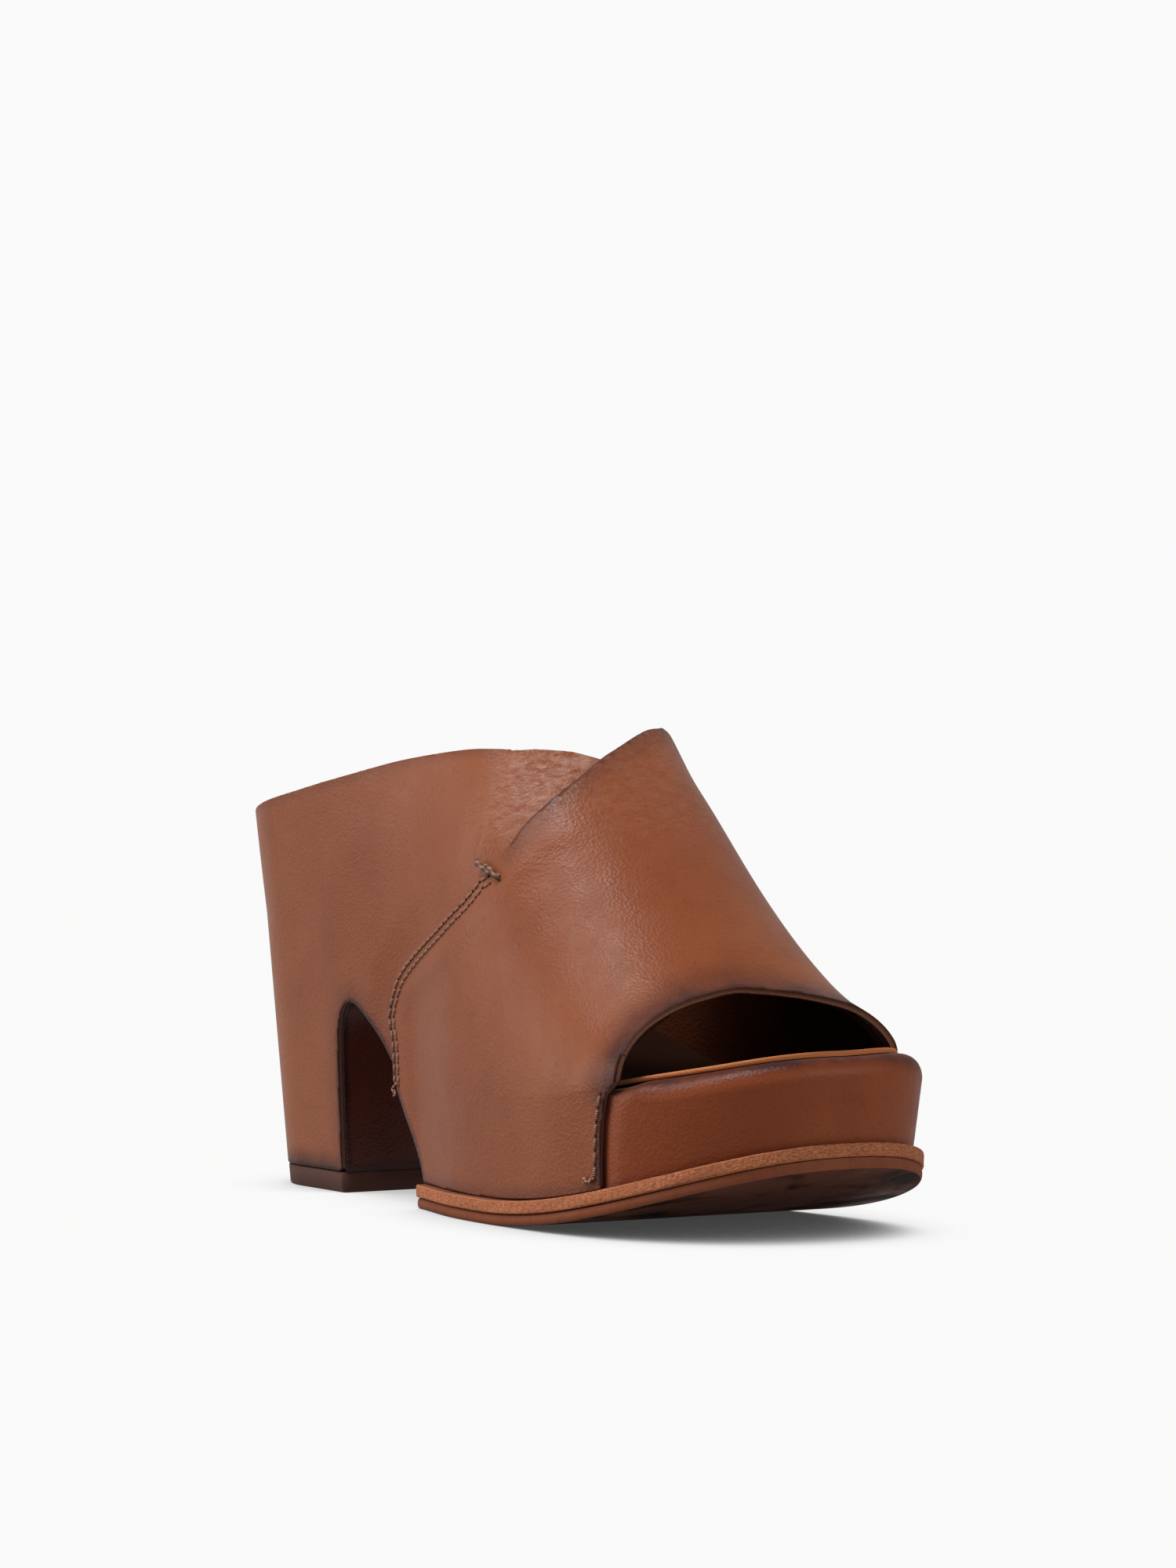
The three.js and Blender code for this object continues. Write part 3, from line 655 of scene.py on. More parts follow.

# %% [markdown]
# ## Leather finishes
#
# The upper is a waxed brown leather. Its colour drifts slowly, it is burnished almost black-purple
# along every edge, it is painted pale as a painted highlight where the overhead light glints on the
# instep creases, and a fine pebble grain shows in the gloss. Each leather could have its own tree, but
# one builder with its own colours keeps them of one family. The burn attribute is 1 at a burnished edge
# and fades away from it, so the burnish follows the panel; in the linings and the sock lining it also
# carries painted shade that deepens towards the toe.

# %% The leathers
# The colour of a painted highlight: the pale glint of the overhead light on the instep creases.
PAINTED_GLINT = (0.58, 0.34, 0.27)
SHEEN_TINT = (1.0, 0.93, 0.88, 1.0)


def leather(name, main, warm, dark, burnish, cut_colour, grain=1.0, gloss=0.0, specular=0.17, sheen=0.0):
    """Leather: slow colour drift, dark edge burnish and painted shade where burn is high, a pale painted highlight
    on glinting creases, a pebble grain and fine creases.
    """
    n = Nodes(name)
    drift = n.noise(14, 4, 0.6)
    cloud = n.noise(48, 5, 0.65)
    speck = n.noise(700, 3, 0.6)
    colour = n.mix(n.ramp(drift, 0.35, 0.68), main, warm)
    colour = n.mix(n.ramp(cloud, 0.48, 0.8, 0, 0.22), colour, dark)
    colour = n.mix(n.ramp(speck, 0.56, 0.75, 0, 0.3), colour, dark)
    uneven = n.math("ADD", n.math("MULTIPLY", n.noise(85, 5, 0.7), 1.1), 0.45)
    burn = n.math("MULTIPLY", n.attribute("burn"), uneven)
    colour = n.mix(n.ramp(burn, 0.02, 0.75, 0, 0.9), colour, dark)
    colour = n.mix(n.ramp(burn, 0.5, 1.05, 0, 0.95), colour, burnish)
    patchy = n.ramp(n.noise(420, 4, 0.7, stretch=(0.6, 0.8, 1.4)), 0.3, 0.7)
    # Painted highlight: a pale colour where the overhead light glints on the creased instep.
    glint = n.math("MULTIPLY", n.attribute("creased"), patchy)
    colour = n.mix(n.math("MULTIPLY", glint, 0.5), colour, PAINTED_GLINT)
    colour = n.mix(n.ramp(n.attribute("rim"), 0.4, 0.9), colour, cut_colour)
    pebble = n.cells(1150)
    creases = n.noise(300, 6, 0.7, stretch=(0.6, 1.2, 1.0))
    worn = n.math("MULTIPLY", n.attribute("creased"), 0.9)
    folds = n.noise(420, 4, 0.75, stretch=(0.45, 0.8, 1.6), distortion=0.5)
    normal = n.bump(pebble, 0.26 * grain, 0.00035)
    normal = n.bump(creases, 0.14 * grain, 0.0005, normal)
    normal = n.bump(n.math("MULTIPLY", folds, worn), 0.9, 0.0009, normal)
    normal = n.bump(n.noise(24, 3, 0.5), 0.3, 0.003, normal)
    polish = n.math("MULTIPLY", n.attribute("creased"), 0.16)
    matt = n.ramp(n.noise(120, 4, 0.6), 0.3, 0.7, 0.34 - gloss, 0.44 - gloss)
    roughness = n.math("SUBTRACT", matt, polish)
    n.shader.inputs["Specular IOR Level"].default_value = specular
    n.shader.inputs["Sheen Weight"].default_value = sheen
    n.shader.inputs["Sheen Roughness"].default_value = 0.42
    n.shader.inputs["Sheen Tint"].default_value = SHEEN_TINT
    return n.finish(colour, roughness, normal)


brown_leather = leather("brown_leather", main=(0.240, 0.061, 0.0195), warm=(0.275, 0.080, 0.028),
                        dark=(0.105, 0.024, 0.010), burnish=(0.022, 0.0055, 0.0075),
                        cut_colour=(0.19, 0.070, 0.033), sheen=0.1)
toe_leather = leather("toe_leather", main=(0.240, 0.053, 0.0165), warm=(0.270, 0.066, 0.022),
                      dark=(0.100, 0.021, 0.0085), burnish=(0.020, 0.0055, 0.0085),
                      cut_colour=(0.095, 0.033, 0.015))
# The linings' near-black colour is painted shade of the shoe's inside.
lining_leather_painted_shade = leather("lining_leather_painted_shade", main=(0.085, 0.023, 0.009), warm=(0.105, 0.03, 0.012),
                         dark=(0.052, 0.013, 0.006), burnish=(0.036, 0.008, 0.004),
                         cut_colour=(0.03, 0.010, 0.005), grain=1.6, gloss=-0.3, specular=0.03)
# The sock lining's dark brown top is painted shade of the shoe's inside; its tan cut edge is its own colour.
sock_leather_painted_shade = leather("sock_leather_painted_shade", main=(0.150, 0.056, 0.024), warm=(0.180, 0.070, 0.030),
                       dark=(0.040, 0.013, 0.006), burnish=(0.022, 0.007, 0.0035),
                       cut_colour=(0.56, 0.195, 0.075), grain=0.8, gloss=-0.3, specular=0.05)
oxblood_leather = leather("oxblood_leather", main=(0.075, 0.0125, 0.0065), warm=(0.10, 0.019, 0.010),
                          dark=(0.034, 0.006, 0.004), burnish=(0.008, 0.003, 0.004),
                          cut_colour=(0.03, 0.009, 0.007), grain=0.9, gloss=0.08, specular=0.4)
print("leathers:", [m.name for m in bpy.data.materials if "leather" in m.name])

# %% [markdown]
# ## The welt's finish
#
# The welt is a strip of tan leather whose raw edge shows pale fibres. A grain on Object coordinates
# would cut across it wherever it turns, so its fibres follow two attributes: the distance along the
# strip, and the distance across it.

# %% Welt finish


def welt_material():
    """The welt's raw edge: layers of pale fibre running along it, with dark pores and a darker top face."""
    n = Nodes("welt_edge")
    coordinates = n.add("ShaderNodeCombineXYZ")
    n.link(n.attribute("along"), coordinates.inputs[0])
    n.link(n.attribute("across"), coordinates.inputs[1])
    n.place = coordinates.outputs[0]
    fibres = n.noise(1.35, 5, 0.75, stretch=(0.55, 2.6, 1.0), distortion=0.6)
    pores = n.noise(5.0, 3, 0.7, stretch=(0.5, 1.3, 1.0))
    colour = n.mix(n.ramp(fibres, 0.36, 0.66), (0.24, 0.064, 0.024), (0.62, 0.205, 0.082))
    colour = n.mix(n.ramp(pores, 0.54, 0.72, 0, 0.6), colour, (0.78, 0.36, 0.18))
    colour = n.mix(n.ramp(n.noise(3.6, 3, 0.7), 0.62, 0.76, 0, 0.7), colour, (0.055, 0.017, 0.009))
    colour = n.mix(n.ramp(n.attribute("top"), 0.3, 0.9, 0, 0.75), colour, (0.13, 0.04, 0.018))
    normal = n.bump(fibres, 0.5, 0.0004)
    normal = n.bump(pores, 0.5, 0.0003, normal)
    n.shader.inputs["Specular IOR Level"].default_value = 0.3
    return n.finish(colour, n.ramp(pores, 0.3, 0.7, 0.6, 0.85), normal)


welt_edge = welt_material()
print("made", welt_edge.name)

# %% [markdown]
# ## Rubber and thread
#
# The sole and the heel piece are dark, and rubbed in patches. The thread is waxed, and its two plies
# could be modelled, but on a thread under a millimetre thick, stripes that follow its length read as
# plies.

# %% Rubber and thread


def rubber(name, main, dust, edge, low, high, specular=0.22):
    """Dark sole rubber: rubbed patches that are smoother and dustier, over a faint moulded texture."""
    n = Nodes(name)
    patch = n.noise(38, 5, 0.6, distortion=0.5)
    colour = n.mix(n.ramp(patch, 0.38, 0.52, 0.0, 1.0), main, dust)
    colour = n.mix(n.ramp(n.noise(700, 3, 0.6), 0.5, 0.75, 0, 0.35), colour, dust)
    rubbed_edge = n.mix(n.ramp(n.noise(260, 4, 0.7), 0.4, 0.8, 0, 0.5), edge, dust)
    colour = n.mix(n.attribute("edge_part"), colour, rubbed_edge)
    normal = n.bump(n.noise(1300, 2, 0.5), 0.12, 0.0002)
    normal = n.bump(n.noise(70, 4, 0.6), 0.18, 0.0012, normal)
    n.shader.inputs["Specular IOR Level"].default_value = specular
    return n.finish(colour, n.ramp(patch, 0.44, 0.6, high, low), normal)


def thread_material(name, main, light):
    """Waxed thread: two plies twisted round each other, which the along attribute turns into stripes."""
    n = Nodes(name)
    turns = n.math("ADD", n.math("MULTIPLY", n.attribute("along"), 5.2), n.attribute("around"))
    twist = n.math("SINE", n.math("MULTIPLY", turns, 2 * np.pi))
    colour = n.mix(n.ramp(twist, -0.6, 0.8), main, light)
    # Painted shade: the beads that sit in the stitch holes are near black.
    colour = n.mix(n.attribute("hole"), colour, (0.006, 0.002, 0.0015))
    return n.finish(colour, 0.5, n.bump(twist, 0.6, 0.00012))


outsole_rubber = rubber("outsole_rubber", main=(0.012, 0.0022, 0.0012), dust=(0.125, 0.040, 0.023),
                        edge=(0.235, 0.070, 0.034), low=0.4, high=0.6, specular=0.06)
heel_rubber = rubber("heel_rubber", main=(0.075, 0.027, 0.018), dust=(0.10, 0.043, 0.031),
                     edge=(0.085, 0.031, 0.021), low=0.45, high=0.6)
tack_thread = thread_material("tack_thread", (0.075, 0.026, 0.013), (0.27, 0.115, 0.062))
brown_thread = thread_material("brown_thread", (0.15, 0.055, 0.028), (0.46, 0.22, 0.13))
print("made", outsole_rubber.name, heel_rubber.name, tack_thread.name, brown_thread.name)

# %% [markdown]
# ## A finished panel from one call
#
# Every leather piece is cut, raised or sunk a little, thickened and burnished at its edges. Each step
# could be a modifier, but the burnish needs the cut edge, which a modifier hides, so one helper does
# them all in order.

# %% Cut, thicken and burnish a sheet


def nearest(points, targets):
    """The distance from each point to the closest target, worked out in blocks to save memory."""
    return np.concatenate([np.sqrt(((block[:, None] - targets[None]) ** 2).sum(-1).min(1))
                           for block in np.array_split(points, len(points) // 400 + 1)])


def weld(points, faces):
    """Joins points that share a place and drops the faces that collapse."""
    key = np.round(points * 2000).astype(np.int64)
    _, first, same = np.unique(key, axis=0, return_index=True, return_inverse=True)
    faces = same.reshape(-1)[faces]
    good = (faces[:, 0] != faces[:, 1]) & (faces[:, 1] != faces[:, 2]) & (faces[:, 2] != faces[:, 0])
    return first, faces[good]


def burnish(points, bare, marks):
    """How burnt each point is: the greatest of weight x (1 - smooth(distance / width)) over the marks."""
    burn = np.zeros(len(points))
    for chosen, weight, width in marks:
        targets = bare[chosen(bare)]
        if len(targets):
            burn = np.maximum(burn, weight * (1 - smooth(nearest(points, targets) / width)))
    return burn


def make_sheet(name, grid, keep, proud, thickness, material, replaced, slot_name,
               marks=(), creased=None, added_burn_and_shade=None):
    """Cuts a sheet out of a grid, raises it by proud, thickens it and burnishes its marked edges."""
    base, directions, triangles = grid
    creased = np.zeros(len(base)) if creased is None else creased
    added_burn_and_shade = np.zeros(len(base)) if added_burn_and_shade is None else added_burn_and_shade
    data = np.column_stack([directions, proud, thickness, creased, added_burn_and_shade])
    points, data, faces = cut(base, data, triangles, keep)
    first, faces = weld(points, faces)
    used, faces = np.unique(faces, return_inverse=True)
    points, data, faces = points[first][used], data[first][used], faces.reshape(-1, 3)
    normals = data[:, :3] / np.maximum(np.linalg.norm(data[:, :3], axis=1), 1e-9)[:, None]
    bare = points[np.unique(open_edges(faces))]
    # Edge burnish, raised by any added darkening, which on the linings is painted shade and on the toe wrap is
    # burnish.
    burn = np.maximum(burnish(points, bare, marks), data[:, 6])
    points = points + normals * data[:, 3:4]
    solid, faces, source, on_edge = thicken(points, normals, faces, data[:, 4])
    return add_piece(name, solid, faces, material, replaced, slot_name, burn=burn[source],
                     rim=np.where(on_edge == 1, 1.0, 0.0), creased=data[source, 5])


print("burnish fades with distance:", [round(float(1 - smooth(d / 4)), 2) for d in (0, 1, 2, 4)])

# %% [markdown]
# ## The two crossing panels
#
# The rear panel wraps the outer side and the heel. The front panel crosses it diagonally, laps over it
# by a few millimetres, covers the foot and runs round the inner side to the back seam. They could be
# two separate forms, but cutting both from one keeps them a leather's thickness apart everywhere.

# %% Distances over the whole form
LEATHER = 1.8
LAP = 4.0
NONE = 60.0
form_points = form.reshape(-1, 3)
form_directions = form_normals.reshape(-1, 3)
form_grid = (form_points, form_directions, grid_triangles(*form.shape[:2]))
x_at, v_at, z_at = form_points.T
seam_distance = behind_seam(form_points)
arch_distance = -inside(form_points[:, 1:], underneath)
outer_half = np.where(v_at < 60, -x_at - 0.1, NONE)
inner_half = np.where(v_at < 60, x_at - 0.1, NONE)
print("points of the form behind the side seam:", int((seam_distance > 0).sum()))

# %% [markdown]
# ## Which edges are burnished
#
# The finisher darkens each edge by its own amount: most round the mouth, least along the top. Painting
# them by hand would have to be done again after every change, so each edge is picked by where it lies.

# %% Edges by place


def at_arch(p):
    """Edge points along the arch between heel and platform."""
    return (p[:, 1] > 58) & (p[:, 1] < 112.5) & (p[:, 2] < 54)


def at_sole(p):
    """Edge points along the ground line: heel, then sole."""
    return ((p[:, 1] < 62) & (p[:, 2] < 8)) | ((p[:, 1] > 111) & (p[:, 2] < sole_top(p[:, 1]) + 1))


def at_top(p):
    """Edge points along the top edge beside the foot."""
    return (p[:, 1] < 136) & (p[:, 2] > 84)


def at_free_edge(p):
    """Edge points where the front panel crosses the instep."""
    return (p[:, 1] > 136) & (p[:, 2] > 97) & (p[:, 1] < 160)


def at_mouth(p):
    """Edge points round the toe opening."""
    return (p[:, 1] > 200) & (p[:, 2] > 38.5)


def at_toe_seam(p):
    """Edge points down the toe seams."""
    return (p[:, 1] > 200) & (p[:, 2] <= 38.5) & (p[:, 2] > sole_top(p[:, 1]) + 1)


for chosen in (at_arch, at_sole, at_top, at_free_edge, at_mouth, at_toe_seam):
    print(chosen.__doc__, int(chosen(form_points).sum()), "points of the form")

# %% [markdown]
# ## The rear panel
#
# The rear panel goes under the front one. Two sheets at one height would fight, and a real shoemaker
# skives the hidden edge, so this one dips and thins towards the lap. Its instep is creased by wear,
# which the creased attribute passes to the finish as folds and polish, and as a pale painted highlight
# where the overhead light glints on the creases.

# %% The rear panel
corner_cut = np.vstack([rear_corner, [(40, 158), (40, 60)]])
corner_distance = np.where(z_at > 93, -inside(form_points[:, :2], corner_cut), NONE)
rear_ground = np.where((x_at > -0.5) & (v_at < 60), NONE, seam_distance)
rear_top = both(below_topline(form_points, topline), corner_distance, 0.8)
rear_keep = np.minimum.reduce([rear_top, arch_distance, rear_ground + LAP, outer_half])
rear_proud = -0.95 * smooth((14 - seam_distance) / 14) - 0.35 * smooth((24 - seam_distance) / 24)
rear_thickness = LEATHER - 0.9 * smooth((6 - seam_distance) / 8)
# The instep creases sit where the overhead light glints, and carry a painted highlight as well as folds.
instep_creases_and_glint = smooth((z_at - 90) / 24) * np.exp(-((v_at - 150) / 11) ** 2)
rear_marks = [(at_top, 0.35, 5), (at_arch, 0.9, 3.5), (at_sole, 0.75, 8), (at_arch, 0.4, 12)]
make_sheet("rear_panel_leather", form_grid, rear_keep, rear_proud, rear_thickness, brown_leather,
           ["rear_panel"], "brown_leather", rear_marks, creased=instep_creases_and_glint)

# %% [markdown]
# ## The front panel
#
# The front panel lies over the rear one, so it stays a little proud along the seam, and is puffed up
# beside the stitches that pull it down. The step could be left to a bump map, but real height gives the
# edge its own shadow.

# %% The front panel
mouth_keep = np.where(z_at > 30, behind_mouth(form_points), NONE)
toe_seam_distance = behind_toe_seam(form_points)
inner_top = np.where(x_at > 0, below_topline(form_points, inner_topline), NONE)
front_keep = np.minimum.reduce([inner_top, arch_distance, -seam_distance, inner_half, mouth_keep,
                                toe_seam_distance])
puffed = 0.5 * np.exp(-((seam_distance + 8) / 4.5) ** 2) * smooth((110 - z_at) / 20)
front_proud = puffed + 0.45 * smooth((12 + seam_distance) / 12)
front_proud = front_proud + 0.3 * smooth((7 - toe_seam_distance) / 7)
front_thickness = LEATHER - 0.6 * smooth((6 + seam_distance) / 6)
front_marks = [(at_mouth, 1.0, 4), (at_mouth, 0.75, 17), (at_free_edge, 0.45, 12), (at_free_edge, 0.8, 2.2),
               (at_toe_seam, 1.0, 3.2), (at_arch, 0.85, 3), (at_sole, 0.45, 6), (at_top, 0.35, 5)]
# The front panel's faint creasing also gets a little of the pale painted highlight.
make_sheet("front_panel_leather", form_grid, front_keep, front_proud, front_thickness, brown_leather,
           ["front_panel"], "brown_leather", front_marks, creased=0.16 * smooth((z_at - 88) / 20))

# %% [markdown]
# ## The linings
#
# Thinner leather faces the foot. It lies just inside the panels, stops short of every visible edge and
# runs down behind the sock lining. It could be the panels' own inner face, but a real lining is a piece
# of its own, with its own join. Its near-black colour, which darkens further towards the toe, is painted
# shade of the shoe's inside.

# %% Line the panels
LINING_GAP = 0.32
lining_depth = np.full(len(form_points), -(LEATHER + LINING_GAP))
lining_thickness = np.ones(len(form_points))
above_floor = np.where(v_at < 190, z_at - rim(v_at) + 5, z_at - rim(v_at) - 0.3)
lining_mouth = np.where(z_at > 30, behind_mouth(form_points) - 3.2, NONE)
JOIN = np.array([(100, -40), (118, 200), (-60, 200), (-60, -40)], float)
join = np.where(x_at < 0, inside(form_points[:, 1:], JOIN), -NONE)
rear_join = np.where((x_at > -0.5) & (v_at < 60), NONE, join)
rear_lining_keep = np.minimum.reduce([below_topline(form_points, topline) - 0.5, above_floor, outer_half,
                                      rear_join])
# The rear lining darkens towards the toe as painted shade of the shoe's inside.
make_sheet("rear_lining_leather", form_grid, rear_lining_keep, lining_depth, lining_thickness,
           lining_leather_painted_shade, ["rear_lining"], "tan_leather", added_burn_and_shade=1.5 * smooth((v_at - 70) / 50))
opening = np.vstack([free_edge, peak, [(-29, -60)]])
high_cut = np.where(z_at > 95, -inside(form_points[:, :2], opening), NONE)
inner_trim = np.where(x_at > 0, inner_top - 0.5, NONE)
front_lining_keep = np.minimum.reduce([inner_trim, high_cut - 0.6, above_floor, -join, lining_mouth,
                                       np.where(x_at < 0, NONE, inner_half)])
# The front lining darkens towards the toe as painted shade of the shoe's inside.
make_sheet("front_lining_leather", form_grid, front_lining_keep, lining_depth, lining_thickness,
           lining_leather_painted_shade, ["front_lining"], "tan_leather", added_burn_and_shade=1.5 * smooth((v_at - 110) / 60))

# %% [markdown]
# ## The toe wrap
#
# One strip of leather covers the front of the platform, turns over its rounded top edge and ends under
# the sock lining. Both ends slip under the front panel.

# %% Wrap the toe


def strip(v_start, rows, n=90):
    """A grid round the toe from one side to the other; rows give (height, how far out) at each station."""
    v, share = stations(1, 60, 150)
    chain = []
    for side in (-1, 1):
        x, out = rim_line(v, share, side)
        pick = v >= v_start
        x, station, out = x[pick], v[pick], out[pick]
        points = []
        for height, stand in rows:
            o = stand(station, out)
            at = station + out[:, 1] * o
            points.append(np.stack([x + out[:, 0] * o, at, height(at)], -1))
        chain.append(np.stack(points, 1))
    return np.concatenate([chain[0], chain[1][-2::-1]])


def wall_out(v, out, z):
    """How far the wall stands out at a height: it leans in below the rim."""
    return -lean(v, out[:, 1]) * (rim(v) - z)


def constant(value):
    """A row that stands out by one amount all the way round."""
    return lambda v, out: np.full(len(v), float(value))


def corner_lift(p):
    """How much higher the platform's inner toe corner stands: 1.9 mm, fading towards the middle."""
    return 1.9 * smooth((p[..., 0] - 6) / 30) * smooth((p[..., 1] - 207) / 16)


def toe_rows(radius=6.0):
    """Rows up the wall, round the top edge by a quarter circle and in over the platform."""
    rows = []
    r = lambda v: radius * (0.4 + 0.6 * smooth((v - 206) / 24))
    for t in np.linspace(0, 1, 26):
        height = lambda v, t=t: sole_top(v) - 1.4 + (rim(v) - r(v) - sole_top(v) + 1.4) * t
        tuck = lambda v, h=height: 0.085 * smooth((v - 205) / 30) * (rim(v) - r(v) - h(v))
        rows.append((height, lambda v, out, h=height, k=tuck: wall_out(v, out, h(v)) - k(v)))
    for a in np.radians(np.linspace(0, 90, 13)[1:]):
        height = lambda v, a=a: rim(v) - r(v) + r(v) * np.sin(a)
        rows.append((height, lambda v, out, a=a: wall_out(v, out, rim(v) - r(v)) - r(v) * (1 - np.cos(a))))
    for d in np.linspace(0, 7, 6)[1:]:
        rows.append((rim, lambda v, out, d=d: wall_out(v, out, rim(v) - r(v)) - r(v) - d))
    return rows


toe_grid = strip(196, toe_rows())
wall_share = (toe_grid[..., 2] - sole_top(toe_grid[..., 1])) / (rim(toe_grid[..., 1]) - sole_top(toe_grid[..., 1]))
toe_grid[..., 2] += corner_lift(toe_grid) * smooth(wall_share)
toe_normals = grid_normals(toe_grid)
toe_normals *= np.sign((toe_normals * (toe_grid - (0, 150, 10))).sum(-1).mean())
toe_points = toe_grid.reshape(-1, 3)
toe_behind = behind_toe_seam(toe_points)
toe_sink = -0.85 * smooth((toe_behind + 6) / 6)
below_top = rim(toe_points[:, 1]) - toe_points[:, 2]
toe_burn = np.maximum(0.8 * (1 - smooth(np.abs(below_top - 0.6) / 5.5)), 0.7 * smooth((toe_behind + 3) / 3))
make_sheet("toe_wrap_leather", (toe_points, toe_normals.reshape(-1, 3), grid_triangles(*toe_grid.shape[:2])),
           5 - toe_behind, toe_sink, LEATHER - 0.8 * smooth((toe_behind + 3) / 4) - 0.6 * smooth((below_top - 10) / 15), toe_leather, ["toe_wrap"],
           "brown_leather", [(at_sole, 0.5, 5)], added_burn_and_shade=toe_burn)

# %% [markdown]
# ## Footbed, foam and sole layers
#
# The flat layers are lofted: every station gives one closed loop, and the loops are joined from heel to
# toe. The sock lining is slightly hollowed under the foot, and its edge shows as a pale line above the
# toe wrap. Its dark brown top, darker still towards the toe, is painted shade of the shoe's inside.

# %% Loft the footbed layers


def loft(name, loops, material, replaced, slot_name, caps=False, **attributes):
    """Joins closed loops into a skin, welds the pinched ends and closes open ones with a fan."""
    rows, count = loops.shape[:2]
    points = loops.reshape(-1, 3)
    faces = grid_triangles(rows, count, wrap=True)
    if caps:
        ends = []
        for start, flip in ((0, 1), ((rows - 1) * count, -1)):
            centre_id = len(points)
            points = np.vstack([points, loops.reshape(-1, 3)[start:start + count].mean(0)])
            k = start + np.arange(count)
            after = start + (np.arange(count) + 1) % count
            ends.append(np.stack([np.full(count, centre_id), k, after], -1)[:, ::flip])
        faces = np.concatenate([faces, *ends])
        attributes = {key: np.append(value, [value[:count].mean(), value[-count:].mean()])
                      for key, value in attributes.items()}
    first, faces = weld(points, faces)
    used, faces = np.unique(faces, return_inverse=True)
    keep = first[used]
    attributes = {key: np.asarray(value, float)[keep] for key, value in attributes.items()}
    return add_piece(name, points[keep], faces.reshape(-1, 3), material, replaced, slot_name, **attributes)


def layer_loops(low, high, inset, hollow=0.0, radius=0.5, across=40):
    """Loops of a footbed layer: bottom and top lines joined by half-round edges, the top hollowed."""
    v, share = stations(60, 110, 90)
    sides = []
    for side in (-1, 1):
        x, out = rim_line(v, share, side)
        o = -inset(v)
        sides.append((x + out[:, 0] * o, v + out[:, 1] * o))
    (left_x, left_v), (right_x, right_v) = sides
    half_width = (right_x - left_x) / 2
    r = np.minimum(radius, half_width * 0.4)
    middle = (high + low) / 2
    t = np.linspace(0, 1, across)
    s = 0.5 - 0.5 * np.cos(np.pi * t)
    inner = (2 * s - 1)[None, :] * (half_width - r)[:, None]
    mid_x = ((left_x + right_x) / 2)[:, None]
    share_v = (s[None, :] * (right_v - left_v)[:, None] + left_v[:, None])
    dish = hollow * (1 - (2 * s - 1) ** 2)[None, :] * smooth(half_width / 20)[:, None]
    top = np.stack([mid_x + inner, share_v, rim(share_v) + high - dish], -1)
    bottom = np.stack([mid_x + inner, share_v, rim(share_v) + low], -1)[:, ::-1]
    a = np.linspace(90, -90, 9)[1:-1]
    edge_z = middle + (high - low) / 2 * np.sin(np.radians(a))
    edge_x = r[:, None] * np.cos(np.radians(a))[None, :]
    right = np.stack([(right_x - r)[:, None] + edge_x, np.repeat(right_v[:, None], len(a), 1),
                      rim(right_v)[:, None] + edge_z[None, :]], -1)
    left = np.stack([(left_x + r)[:, None] - edge_x[:, ::-1], np.repeat(left_v[:, None], len(a), 1),
                     rim(left_v)[:, None] + edge_z[None, ::-1]], -1)
    loops = np.concatenate([top, right, bottom, left], 1)
    loops[..., 2] += corner_lift(loops)
    return loops


sock_loops = layer_loops(0.3, 1.6, lambda v: 3.9 + 2.6 * smooth((v - 203) / 8), hollow=0.9)
across = np.abs(sock_loops[..., 0] - sock_loops[..., 0].mean(1, keepdims=True))
sock_edge = np.abs(across.max(1, keepdims=True) - across).reshape(-1)
# The sock lining darkens towards the toe as painted shade of the shoe's inside.
loft("sock_lining_leather", sock_loops, sock_leather_painted_shade, ["sock_lining"], "tan_leather",
     burn=1.5 * smooth((sock_loops[..., 1].reshape(-1) - 70) / 70), rim=1.0 * ((sock_edge < 0.7) & (sock_loops[..., 1].reshape(-1) > 196)), creased=np.zeros(len(sock_edge)))


def foam_material():
    """Pale open-cell foam: small round cells of two sizes."""
    n = Nodes("pale_foam")
    cells = n.cells(900)
    colour = n.mix(n.ramp(cells, 0.1, 0.6), (0.52, 0.44, 0.30), (0.72, 0.66, 0.50))
    return n.finish(colour, n.ramp(n.cells(2100), 0.1, 0.6, 0.85, 0.95), n.bump(cells, 0.5, 0.0005))


foam_loops = layer_loops(-3.0, 0.0, lambda v: 3.9 + 10.7 * smooth((v - 199) / 6), hollow=0.6, radius=1.2)
foam_pad = loft("footbed_foam_pad", foam_loops, foam_material(), ["footbed_foam"], "foam")

# %% Welt, outsole and heel top piece
WAIST_END = 111.2


def sole_ring(profile, v_start=WAIST_END, seed=1, rough=0.0):
    """Sweeps a closed profile of (out, height) points round the sole, from waist to toe to waist."""
    v, share = stations(2, 90, 120)
    pick = v > v_start + 0.2
    chain = []
    for side in (-1, 1):
        x, out = rim_line(v, share, side)
        x0 = np.interp(v_start, v, x)
        n0 = np.array([np.interp(v_start, v, out[:, 0]), np.interp(v_start, v, out[:, 1])])
        station = np.append(v_start, v[pick])
        xs, outs = np.append(x0, x[pick]), np.vstack([n0, out[pick]])
        foot = wall_out(station, outs, 6)
        loop = []
        for stand, height in profile:
            o = foot + stand
            at = station + outs[:, 1] * o
            loop.append(np.stack([xs + outs[:, 0] * o, at, spring(at) + height], -1))
        chain.append(np.stack(loop, 1))
    ring = np.concatenate([chain[0], chain[1][-2::-1]])
    if rough:
        rng = np.random.default_rng(seed)
        wave = rng.normal(size=(len(ring) + 8, len(profile)))
        wave = (wave[:-8] + wave[2:-6] + wave[4:-4] + wave[6:-2] + wave[8:]) / 5 ** 0.5
        ring[..., 2] += rough * wave * 0.5
        ring[..., 0] += rough * wave * np.sign(ring[..., 0])
    return ring


